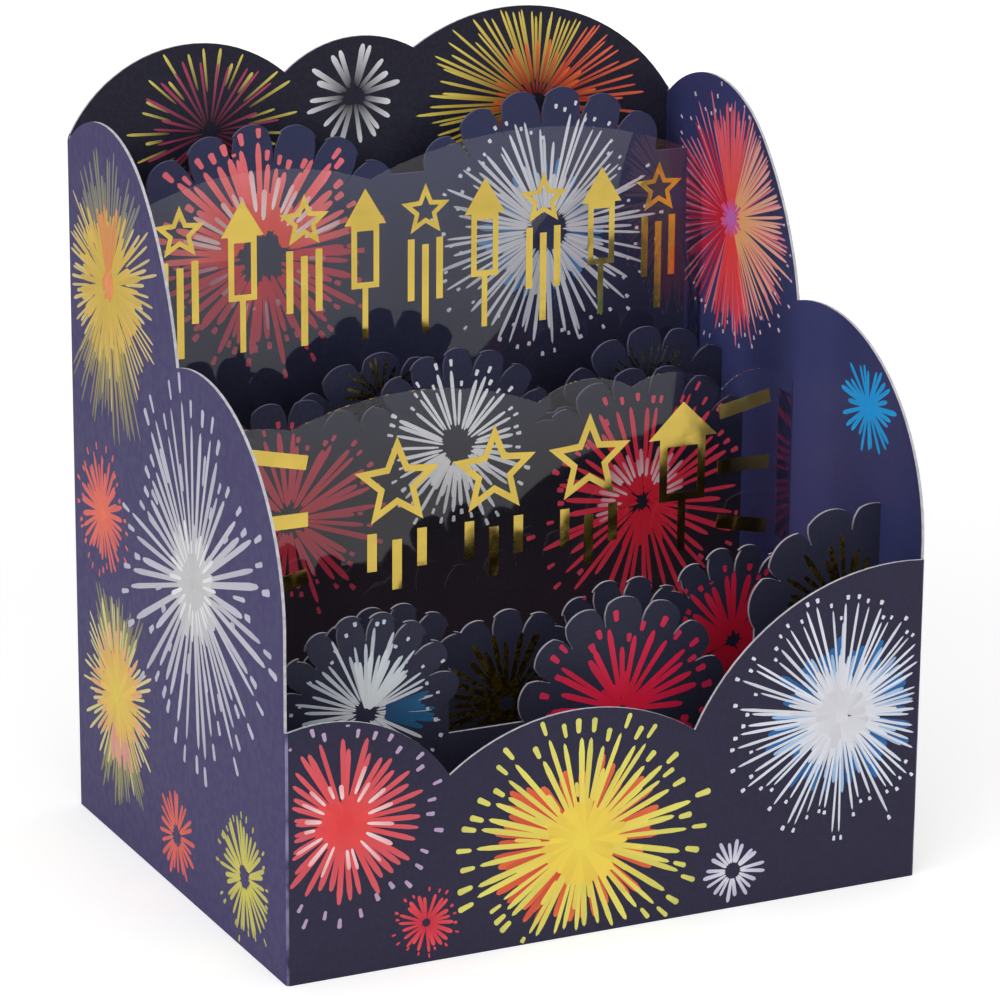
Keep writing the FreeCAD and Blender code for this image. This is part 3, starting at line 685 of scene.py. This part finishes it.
down = vector(0.0, 0.0, -1.0)
on_sheet = add(strokes, "GeometryNodeObjectInfo", transform_space="RELATIVE")
feed(strokes, on_sheet.inputs["Object"], given.outputs["Sheet"])
fit = 0.0
for part in SHORTER:
    tip_at = math_node(strokes, "ADD", scaled(strokes, long, part, start), given.outputs["Tip margin"])
    above = add(strokes, "ShaderNodeVectorMath", operation="ADD")
    feed(strokes, above.inputs[0], middle)
    feed(strokes, above.inputs[1], vector(math_node(strokes, "MULTIPLY", sideways, tip_at),
                                          math_node(strokes, "MULTIPLY", upwards, tip_at), RAY_UP))
    ray = add(strokes, "GeometryNodeRaycast")
    feed(strokes, ray.inputs["Target Geometry"], on_sheet.outputs["Geometry"])
    feed(strokes, ray.inputs["Source Position"], above.outputs[0])
    feed(strokes, ray.inputs["Ray Direction"], down)
    feed(strokes, ray.inputs["Ray Length"], RAY_UP + RAY_SLACK)
    deep = math_node(strokes, "GREATER_THAN", ray.outputs["Hit Distance"], RAY_UP - RAY_SLACK)
    there = math_node(strokes, "MULTIPLY", deep, ray.outputs["Is Hit"])
    longer = add(strokes, "GeometryNodeSwitch", input_type="FLOAT")
    feed(strokes, longer.inputs["Switch"], there)
    feed(strokes, longer.inputs["False"], fit)
    feed(strokes, longer.inputs["True"], part)
    fit = longer.outputs[0]

with_fit = stored(copies.outputs["Geometry"], "fit", fit)
with_fit = stored(with_fit, "angle", angle)
with_fit = stored(with_fit, "span", math_node(strokes, "MULTIPLY", long, fit))
with_fit = stored(with_fit, "own", own)
from_middle = add(strokes, "GeometryNodeSetPosition")
feed(strokes, from_middle.inputs["Geometry"], with_fit)
feed(strokes, from_middle.inputs["Offset"], vector(math_node(strokes, "MULTIPLY", sideways, start),
                                                   math_node(strokes, "MULTIPLY", upwards, start), 0.0))
off_sheet = add(strokes, "GeometryNodeDeleteGeometry", domain="POINT")
feed(strokes, off_sheet.inputs["Geometry"], from_middle.outputs[0])
feed(strokes, off_sheet.inputs["Selection"], less(strokes, ring_value("fit"), TOO_SHORT))

# one stroke: a drum of ten sides, drawn out into a bar with round ends that widens towards its tip
drum = add(strokes, "GeometryNodeMeshCylinder", fill_type="NGON")
for label, value in (("Vertices", STROKE_SIDES), ("Radius", 1.0), ("Depth", 1.0)):
    feed(strokes, drum.inputs[label], value)
corner = parts_of(strokes, add(strokes, "GeometryNodeInputPosition").outputs[0])
far = math_node(strokes, "POWER", math_node(strokes, "ABSOLUTE", corner["X"]), ROUND_ENDS)
far = math_node(strokes, "MULTIPLY", math_node(strokes, "SIGN", corner["X"]), far)
far = scaled(strokes, far, 0.5, 0.5)
wide = math_node(strokes, "MULTIPLY", scaled(strokes, far, TIP_GAIN, FOOT_HALF_WIDTH), corner["Y"])
high = math_node(strokes, "ADD", corner["Z"], 0.5)
bar = add(strokes, "GeometryNodeSetPosition")
feed(strokes, bar.inputs["Geometry"], stored(drum.outputs["Mesh"], "along", far))
feed(strokes, bar.inputs["Position"], vector(far, wide, high))

laid = add(strokes, "GeometryNodeInstanceOnPoints")
feed(strokes, laid.inputs["Points"], off_sheet.outputs[0])
feed(strokes, laid.inputs["Instance"], bar.outputs[0])
lean = math_node(strokes, "ADD", ring_value("angle"), chance(-LEAN, LEAN, 7, ring_value("own")))
feed(strokes, laid.inputs["Rotation"], vector(0.0, 0.0, lean))
ring_top = scaled(strokes, ring_value("order"), given.outputs["Ring step"], given.outputs["Ink height"])
level = math_node(strokes, "MODULO", ring_value("own"), STROKE_LEVELS)
level = math_node(strokes, "MULTIPLY", level, given.outputs["Stroke step"])
tall = math_node(strokes, "ADD", ring_top, level)
broad = math_node(strokes, "MULTIPLY", ring_value("width"), chance(*BROAD, 4, ring_value("own")))
feed(strokes, laid.inputs["Scale"], vector(ring_value("span"), broad, tall))
toned = stored(laid.outputs["Instances"], "tone", chance(0.0, 1.0, 5, ring_value("own")), "INSTANCE")
solid = add(strokes, "GeometryNodeRealizeInstances")
feed(strokes, solid.inputs["Geometry"], toned)
inked = add(strokes, "GeometryNodeSetMaterial")
feed(strokes, inked.inputs["Geometry"], solid.outputs[0])
feed(strokes, inked.inputs["Material"], given.outputs["Ink"])
feed(strokes, made.inputs["Geometry"], inked.outputs[0])
print("stroke tree", len(strokes.nodes), "nodes")

# %% [markdown]
# The faces that carry print. Each firework is drawn flat, so every printed face gets its own axes: to
# the right and up, as someone in front of that face sees it. The places come from the boxes of the
# packed sheets, so the print stays on its sheet.

# %% Printed faces
sleeve_low, sleeve_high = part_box("sleeve")
UP = Vector((0, 0, 1))
RIGHT = Vector((1, 0, 0))
BACKWARDS = Vector((0, 1, 0))


def face_axes(right, place):
    """A face's own axes, with the print's side outwards."""
    axes = Matrix((right, UP, right.cross(UP))).transposed().to_4x4()
    return Matrix.Translation(place) @ axes


Face = namedtuple("Face", "sheet axes")
faces = {
    "front": Face("sleeve", face_axes(RIGHT, Vector((0, sleeve_low.y, 0)))),
    "left": Face("sleeve", face_axes(-BACKWARDS, Vector((sleeve_low.x, 0, 0)))),
    "right": Face("sleeve", face_axes(BACKWARDS, Vector((sleeve_high.x, 0, 0)))),
    "back": Face("sleeve", face_axes(-RIGHT, Vector((0, sleeve_high.y, 0)))),
    "inside left": Face("sleeve", face_axes(BACKWARDS, Vector((sleeve_low.x + CARD, 0, 0)))),
    "inside right": Face("sleeve", face_axes(-BACKWARDS, Vector((sleeve_high.x - CARD, 0, 0)))),
    "inside back": Face("sleeve", face_axes(RIGHT, Vector((0, sleeve_high.y - CARD, 0)))),
}
for name in layers:
    faces[name] = Face(name, face_axes(RIGHT, Vector((0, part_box(name)[0].y, 0))))
for name, face in faces.items():
    print(name, [round(value * 1000, 2) for value in face.axes.translation])

# %% [markdown]
# The fireworks. Each one is a list of rings, from the bottom ink to the top one. A ring says how many
# strokes it has, from which radius to which they run, how wide they are, and their colour at the inner
# end and at the tip. Spread shortens strokes at random. A loose ring moves with the tips of the ring
# that has the same turn, for the sparks that fly ahead of a stroke. Sizes are in millimetres.

# %% Rings and fireworks
Ring = namedtuple("Ring", "count start end width inner tip spread loose turn ragged sector",
                  defaults=(0.2, 0, 1, 0.0, (0, 360)))
Firework = namedtuple("Firework", "node face across up rings over")
fireworks = []


def firework(node, face, across, up, *rings, over=0):
    """Notes down a firework: its node and face, its middle, its rings and how many rings lie under it."""
    fireworks.append(Firework(node, face, across, up, rings, over))


def heart(colour, turn):
    """A blot over the middle of a firework: three short broad strokes that cross there."""
    return Ring(3, -1.25, 1.25, 2.3, colour, colour, 0.05, 0, turn)


# %% Fireworks on the front panel
firework("sleeve_outside_red", "front", -5.0, 14.4,
         Ring(30, 4.0, 13.6, 1.3, (222, 84, 48), (236, 108, 58), 0.25, 0, 2),
         Ring(14, 4.0, 15.0, 1.2, (222, 70, 44), (230, 92, 54), 0.2, 0, 70, 0.0, (130, 240)))
firework("sleeve_outside_yellow", "front", -5.0, 14.4,
         Ring(44, 1.0, 18.0, 0.95, (252, 218, 80), (236, 230, 110), 0.24, 0, 1),
         Ring(16, 6.0, 12.0, 0.8, (252, 220, 88), (240, 226, 100), 0.25, 0, 51, 1.0),
         Ring(34, 0.0, 7.4, 1.4, (254, 226, 82), (253, 216, 78), 0.35, 0, 3),
         Ring(44, 18.8, 21.4, 0.95, (236, 230, 110), (226, 222, 112), 0.24, 1, 1),
         heart((254, 226, 82), 82), over=2)
firework("sleeve_outside_red", "front", -42.2, 22.9,
         Ring(40, 0.5, 13.4, 0.95, (240, 66, 66), (220, 88, 100), 0.26, 0, 4),
         Ring(26, 0.0, 5.0, 1.2, (240, 60, 62), (240, 72, 74), 0.3, 0, 53),
         Ring(18, 3.4, 8.6, 0.7, (255, 230, 228), (250, 178, 182), 0.35, 0, 5, 1.2),
         Ring(34, 14.8, 16.4, 0.7, (196, 158, 196), (186, 166, 204), 0.2, 1, 4),
         heart((240, 60, 62), 83))
firework("sleeve_outside_red", "front", -29.6, 6.0,
         Ring(22, 0.6, 4.7, 0.65, (214, 30, 58), (238, 76, 86), 0.25, 0, 6),
         Ring(18, 5.0, 5.7, 0.45, (238, 76, 86), (220, 60, 80), 0.2, 1, 6))
firework("sleeve_outside_white", "front", 19.8, 5.8,
         Ring(20, 1.2, 5.5, 0.65, (238, 234, 246), (206, 202, 230), 0.25, 0, 7))
firework("sleeve_outside_blue", "front", 37.4, 27.3,
         Ring(34, 4.0, 13.2, 1.4, (8, 80, 142), (16, 104, 172), 0.3, 0, 8))
firework("sleeve_outside_white", "front", 37.4, 27.3,
         Ring(40, 2.6, 12.4, 0.7, (206, 224, 246), (160, 196, 236), 0.35, 0, 9),
         Ring(64, 2.0, 18.6, 0.5, (244, 244, 250), (226, 230, 244), 0.26, 0, 10),
         Ring(60, 1.0, 9.6, 0.6, (236, 236, 244), (232, 234, 244), 0.4, 0, 71),
         Ring(30, 0.0, 5.2, 1.3, (228, 227, 234), (228, 228, 236), 0.35, 0, 11),
         Ring(64, 19.1, 19.9, 0.65, (238, 238, 248), (228, 230, 244), 0.26, 1, 10),
         heart((228, 227, 234), 84), over=1)


# %% Fireworks on the side panels
for face in ("left", "right"):
    firework("sleeve_outside_gold", face, 24.2, 86.5,
             Ring(26, 8.0, 21.0, 0.7, (150, 142, 108), (128, 126, 116), 0.3, 0, 12, 2.0, (45, 135)),
             Ring(60, 7.0, 20.4, 0.6, (228, 198, 84), (222, 200, 140), 0.34, 0, 54, 2.0, (135, 405)),
             Ring(30, 8.0, 24.5, 0.55, (190, 168, 70), (126, 124, 104), 0.3, 0, 92, 2.0, (225, 305)),
             Ring(60, 0.0, 14.0, 1.1, (218, 184, 40), (228, 188, 80), 0.34, 0, 13),
             Ring(14, 1.0, 13.0, 1.1, (234, 142, 60), (224, 150, 76), 0.35, 0, 55, 2.0, (66, 112)),
             Ring(16, 0.2, 2.9, 0.9, (250, 150, 90), (242, 150, 66), 0.3, 0, 14),
             heart((250, 150, 88), 81))
    firework("sleeve_outside_silver", face, -7.8, 49.5,
             Ring(46, 3.0, 26.8, 1.15, (212, 211, 216), (200, 198, 216), 0.34, 0, 15),
             Ring(16, 15.0, 21.0, 1.05, (204, 202, 218), (200, 198, 216), 0.3, 1, 56, 3.0),
             Ring(44, 0.0, 9.6, 1.5, (212, 212, 212), (214, 213, 218), 0.45, 0, 16),
             Ring(24, 3.4, 9.6, 0.75, (254, 254, 254), (238, 238, 242), 0.35, 0, 17, 1.5),
             Ring(46, 27.9, 31.0, 1.1, (204, 202, 220), (198, 196, 218), 0.34, 1, 15),
             heart((212, 212, 212), 85))
    firework("sleeve_outside_coral", face, 28.5, 50.5,
             Ring(34, 0.4, 9.6, 0.95, (248, 112, 76), (230, 94, 92), 0.3, 0, 18),
             Ring(30, 10.1, 11.4, 0.7, (234, 102, 94), (224, 94, 96), 0.25, 1, 18),
             heart((248, 112, 76), 86))
    firework("sleeve_outside_yellow", face, 23.3, 23.0,
             Ring(28, 6.0, 18.4, 0.55, (178, 170, 88), (136, 132, 96), 0.3, 0, 72, 2.0, (50, 130)),
             Ring(26, 6.0, 18.4, 0.55, (186, 180, 92), (140, 136, 100), 0.3, 0, 73, 2.0, (240, 310)),
             Ring(52, 5.0, 15.6, 0.6, (232, 216, 120), (226, 216, 156), 0.3, 0, 19, 2.0, (-70, 250)),
             Ring(40, 2.0, 12.4, 0.85, (246, 190, 110), (240, 176, 122), 0.34, 0, 20),
             Ring(16, 2.0, 13.4, 0.9, (240, 168, 130), (232, 160, 146), 0.34, 0, 74, 0.0, (245, 300)),
             Ring(42, 0.0, 8.6, 1.2, (248, 216, 76), (246, 196, 84), 0.34, 0, 21),
             heart((248, 216, 76), 87))
    firework("sleeve_outside_coral", face, 0.1, 8.5,
             Ring(24, 1.2, 7.4, 0.9, (240, 104, 78), (230, 90, 88), 0.25, 0, 22, 0.6))
    firework("sleeve_outside_yellow", face, -25.7, 11.0,
             Ring(34, 1.4, 9.4, 0.85, (228, 216, 84), (206, 200, 96), 0.26, 0, 23, 0.5),
             Ring(20, 9.9, 11.2, 0.6, (210, 204, 96), (196, 192, 96), 0.25, 1, 23))

# %% Fireworks on the back and inside
firework("sleeve_outside_gold", "back", -21.0, 84.0,
         Ring(56, 6.0, 19.6, 0.7, (226, 196, 84), (200, 182, 120), 0.3, 0, 24, 2.0),
         Ring(52, 0.0, 12.5, 1.25, (216, 184, 44), (228, 188, 84), 0.34, 0, 25),
         heart((216, 184, 44), 88))
firework("sleeve_outside_silver", "back", 20.0, 42.0,
         Ring(46, 3.0, 20.4, 1.3, (200, 199, 208), (186, 184, 206), 0.34, 0, 26),
         Ring(40, 0.0, 9.0, 1.5, (200, 200, 201), (203, 202, 208), 0.4, 0, 27),
         Ring(40, 21.2, 23.2, 1.0, (196, 194, 212), (186, 184, 208), 0.34, 1, 26),
         heart((200, 200, 201), 89))
for face, back in (("inside left", 0), ("inside right", 180)):
    rear, fore = (back - 62, back + 62), (back + 110, back + 250)
    firework("sleeve_inside_red", face, 18.8, 88.5,
             Ring(80, 1.5, 20.6, 0.5, (246, 74, 90), (244, 140, 164), 0.25, 0, 28),
             Ring(28, 1.5, 18.6, 0.5, (206, 20, 52), (196, 30, 76), 0.3, 0, 57, 0.0, rear),
             Ring(40, 1.5, 20.0, 0.5, (254, 186, 112), (255, 188, 178), 0.3, 0, 29, 0.0, fore),
             Ring(20, 1.0, 18.4, 0.6, (255, 76, 66), (250, 104, 120), 0.3, 0, 76, 0.0, (72, 112)),
             Ring(20, 1.0, 18.4, 0.6, (255, 60, 62), (246, 76, 96), 0.3, 0, 77, 0.0, (252, 292)),
             Ring(22, 0.4, 3.8, 0.6, (214, 110, 206), (236, 80, 150), 0.35, 0, 30),
             Ring(70, 21.3, 22.1, 0.5, (236, 220, 236), (236, 204, 220), 0.25, 1, 28),
             heart((214, 110, 206), 90))
    firework("sleeve_inside_blue", face, -24.0, 68.5,
             Ring(26, 0.2, 8.2, 0.85, (0, 172, 255), (20, 180, 255), 0.34, 0, 31),
             heart((0, 172, 255), 91))
firework("sleeve_inside_gold", "inside back", -28.1, 104.5,
         Ring(32, 6.0, 15.8, 0.55, (96, 78, 36), (232, 216, 104), 0.34, 0, 32, 1.6),
         Ring(28, 1.0, 12.5, 0.5, (66, 22, 32), (184, 60, 104), 0.35, 0, 33, 1.0))
firework("sleeve_inside_silver", "inside back", -4.2, 108.3,
         Ring(19, 1.2, 8.8, 1.0, (44, 44, 54), (236, 236, 242), 0.32, 0, 34, 0.8))
firework("sleeve_inside_gold", "inside back", 27.2, 104.8,
         Ring(40, 3.0, 21.0, 0.5, (150, 84, 26), (236, 216, 96), 0.32, 0, 35, 1.0, (56, 220)),
         Ring(42, 3.0, 20.6, 0.5, (176, 26, 24), (240, 112, 76), 0.32, 0, 59, 1.0, (-140, 56)),
         Ring(30, 1.5, 11.0, 0.7, (110, 16, 20), (238, 110, 44), 0.35, 0, 36))

# %% Fireworks on the layers
firework("front_layer_white", "front_layer", -33.35, 34.0,
         Ring(42, 1.4, 12.6, 0.6, (226, 228, 234), (200, 206, 218), 0.34, 0, 37, 0.6),
         Ring(9, 3.0, 11.4, 0.8, (8, 66, 108), (24, 92, 136), 0.3, 0, 38, 0.0, (-24, 14)),
         Ring(14, 0.6, 10.4, 0.75, (244, 248, 250), (222, 230, 238), 0.34, 0, 60, 0.0, (36, 104)),
         Ring(36, 13.1, 13.8, 0.65, (214, 218, 230), (200, 204, 220), 0.34, 1, 37))
firework("front_layer_red", "front_layer", 7.65, 28.6,
         Ring(30, 0.8, 13.0, 1.1, (236, 24, 66), (226, 32, 76), 0.3, 0, 39, 1.0),
         Ring(18, 0.6, 6.0, 1.0, (232, 22, 60), (230, 26, 66), 0.4, 0, 78),
         Ring(32, 13.8, 15.6, 1.1, (222, 34, 78), (214, 42, 88), 0.3, 1, 39))
firework("front_layer_gold", "front_layer", 45.1, 38.0,
         Ring(36, 1.0, 13.0, 0.9, (206, 176, 70), (190, 160, 64), 0.3, 0, 40))
firework("second_layer_gold", "second_layer", -4.55, 27.2,
         Ring(34, 1.0, 12.0, 0.9, (206, 176, 70), (190, 160, 64), 0.3, 0, 41))
firework("second_layer_red", "second_layer", 33.35, 31.8,
         Ring(34, 0.8, 11.4, 1.1, (228, 24, 56), (212, 34, 72), 0.3, 0, 42, 0.8),
         Ring(34, 12.0, 13.2, 0.9, (216, 34, 72), (204, 40, 80), 0.3, 1, 42))
firework("middle_layer_red", "middle_layer", -26.95, 50.3,
         Ring(42, 1.8, 14.6, 0.95, (216, 50, 70), (204, 56, 84), 0.3, 0, 43, 1.4),
         Ring(42, 15.2, 16.4, 0.8, (206, 60, 86), (196, 62, 92), 0.3, 1, 43))
firework("middle_layer_white", "middle_layer", 0.95, 58.5,
         Ring(40, 2.2, 12.4, 0.7, (250, 250, 253), (236, 238, 246), 0.3, 0, 44, 1.6),
         Ring(16, 2.0, 8.0, 0.8, (252, 252, 254), (244, 244, 250), 0.34, 0, 79, 1.0, (200, 340)),
         Ring(40, 13.0, 14.2, 0.65, (244, 244, 250), (236, 236, 246), 0.3, 1, 44))
firework("middle_layer_red", "middle_layer", 33.16, 46.0,
         Ring(42, 1.0, 18.6, 0.9, (246, 34, 60), (240, 62, 90), 0.3, 0, 45, 1.6),
         Ring(20, 0.6, 8.0, 0.8, (240, 30, 56), (242, 40, 68), 0.35, 0, 80, 1.6),
         Ring(22, 3.0, 9.6, 0.7, (255, 226, 230), (244, 150, 166), 0.35, 0, 46, 2.0, (10, 200)),
         Ring(44, 19.3, 20.9, 0.85, (240, 70, 96), (230, 74, 100), 0.3, 1, 45))
firework("rear_middle_layer_gold", "rear_middle_layer", -8.55, 65.5,
         Ring(24, 1.0, 7.0, 0.6, (160, 146, 84), (150, 132, 70), 0.3, 0, 47))
firework("rear_middle_layer_gold", "rear_middle_layer", 37.6, 62.0,
         Ring(30, 1.0, 9.0, 0.5, (156, 160, 130), (146, 146, 110), 0.3, 0, 48))
firework("upper_layer_red", "upper_layer", -22.55, 86.2,
         Ring(30, 2.8, 18.0, 1.1, (222, 48, 66), (204, 62, 90), 0.32, 0, 49, 2.0, (180, 372)),
         Ring(26, 3.0, 18.6, 1.2, (255, 86, 74), (250, 124, 130), 0.3, 0, 61, 2.0, (8, 182)),
         Ring(20, 3.0, 10.0, 1.5, (255, 84, 70), (252, 96, 88), 0.3, 0, 75, 1.0, (20, 165)),
         Ring(16, 5.4, 14.4, 0.9, (255, 248, 248), (252, 190, 194), 0.3, 0, 50, 2.0, (12, 172)),
         Ring(12, 6.0, 12.0, 0.7, (206, 160, 180), (196, 128, 146), 0.3, 0, 63, 2.0, (180, 360)),
         Ring(26, 19.2, 21.4, 1.1, (250, 118, 122), (240, 118, 132), 0.3, 1, 61, 0.0, (8, 182)),
         Ring(30, 18.6, 20.2, 0.9, (206, 70, 96), (198, 74, 100), 0.32, 1, 49, 0.0, (180, 372)))
firework("upper_layer_white", "upper_layer", 25.75, 86.0,
         Ring(34, 4.0, 13.0, 1.1, (24, 110, 184), (90, 156, 214), 0.35, 0, 51),
         Ring(34, 3.4, 11.4, 0.8, (206, 220, 236), (212, 220, 234), 0.35, 0, 64),
         Ring(66, 2.6, 19.4, 0.6, (240, 242, 250), (222, 226, 238), 0.28, 0, 52, 1.4),
         Ring(60, 20.0, 20.8, 0.65, (238, 238, 248), (222, 226, 238), 0.28, 1, 52))
print("fireworks", len(fireworks), "rings", sum(len(item.rings) for item in fireworks))


# %% [markdown]
# From rings to strokes. All the rings of one colour that lie on one face become the points of a small
# mesh, set up on that face's axes, and the tree turns them into strokes there. The strokes of a packed
# print node are then joined into one mesh that stands in for it.


# %% Making the strokes
def world_across(face, across):
    """The point of a face that lies this far along the row's X or Y."""
    right = faces[face].axes.to_3x3() @ RIGHT
    return Vector((abs(right.x) * across, abs(right.y) * across, 0))


def ring_points(face, items):
    """A mesh with one point for each ring, which carries the ring's values."""
    inverse = faces[face].axes.inverted()
    places, rows, orders = [], [], []
    for item in items:
        for order, ring in enumerate(item.rings):
            at = inverse @ ((world_across(face, item.across) + UP * item.up) * MM)
            places.append((at.x, at.y, 0.0))
            rows.append(ring)
            orders.append(order + item.over)
    mesh = bpy.data.meshes.new("rings")
    mesh.from_pydata(places, [], [])
    numbers = {
        "count": ("INT", [ring.count for ring in rows]),
        "start": ("FLOAT", [ring.start * MM for ring in rows]),
        "end": ("FLOAT", [ring.end * MM for ring in rows]),
        "width": ("FLOAT", [ring.width * MM for ring in rows]),
        "spread": ("FLOAT", [ring.spread for ring in rows]),
        "loose": ("FLOAT", [float(ring.loose) for ring in rows]),
        "turn": ("FLOAT", [float(ring.turn) for ring in rows]),
        "ragged": ("FLOAT", [ring.ragged * MM for ring in rows]),
        "first": ("FLOAT", [math.radians(ring.sector[0]) for ring in rows]),
        "sweep": ("FLOAT", [math.radians(ring.sector[1] - ring.sector[0]) for ring in rows]),
        "order": ("FLOAT", [float(order) for order in orders]),
    }
    for name, (kind, values) in numbers.items():
        mesh.attributes.new(name, kind, "POINT").data.foreach_set("value", values)
    for name, colours in {"inner_ink": [ring.inner for ring in rows],
                          "tip_ink": [ring.tip for ring in rows]}.items():
        flat = [value for colour in colours for value in linear(*colour)]
        mesh.attributes.new(name, "FLOAT_VECTOR", "POINT").data.foreach_set("vector", flat)
    return mesh


def stroke_mesh(face, items, ink):
    """The strokes of some fireworks on one face, as a plain mesh in the row's frame."""
    seed = in_scene("rings", ring_points(face, items))
    seed.matrix_world = faces[face].axes
    modifier = seed.modifiers.new("strokes", "NODES")
    modifier.node_group = strokes
    sockets = {item.name: item.identifier for item in strokes.interface.items_tree if item.in_out == "INPUT"}
    modifier[sockets["Sheet"]] = cards[faces[face].sheet]
    modifier[sockets["Ink"]] = ink
    mesh = plain_mesh(seed)
    mesh.transform(faces[face].axes)
    seed.modifiers.remove(modifier)
    bpy.data.objects.remove(seed)
    return mesh


def joined(name, meshes, ink):
    """Several meshes as one piece at the origin, with their attributes kept."""
    form = bmesh.new()
    for mesh in meshes:
        form.from_mesh(mesh)
    mesh = bpy.data.meshes.new(name)
    form.to_mesh(mesh)
    form.free()
    dress(mesh, ink)
    return in_scene(name, mesh)


total = 0
for node in sorted({item.node for item in fireworks}):
    own_works = [item for item in fireworks if item.node == node]
    ink = stroke_foil if node.endswith("layer_gold") else printed_ink
    meshes = [stroke_mesh(face, [item for item in own_works if item.face == face], ink)
              for face in dict.fromkeys(item.face for item in own_works)]
    piece_name = node.replace("_layer_", "_layer_fireworks_").replace("side_", "side_fireworks_")
    piece = joined(piece_name, meshes, ink)
    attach(piece, "root")
    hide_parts(node)
    triangles = sum(len(polygon.vertices) - 2 for polygon in piece.data.polygons)
    total += triangles
    print(piece.name, len(piece.data.polygons) // (STROKE_SIDES + 2), "strokes", triangles, "triangles")
print("all strokes", total, "triangles")

# %% [markdown]
# Last, the picture's settings.

# %% The view transform
bpy.context.scene.view_settings.view_transform = "Standard"
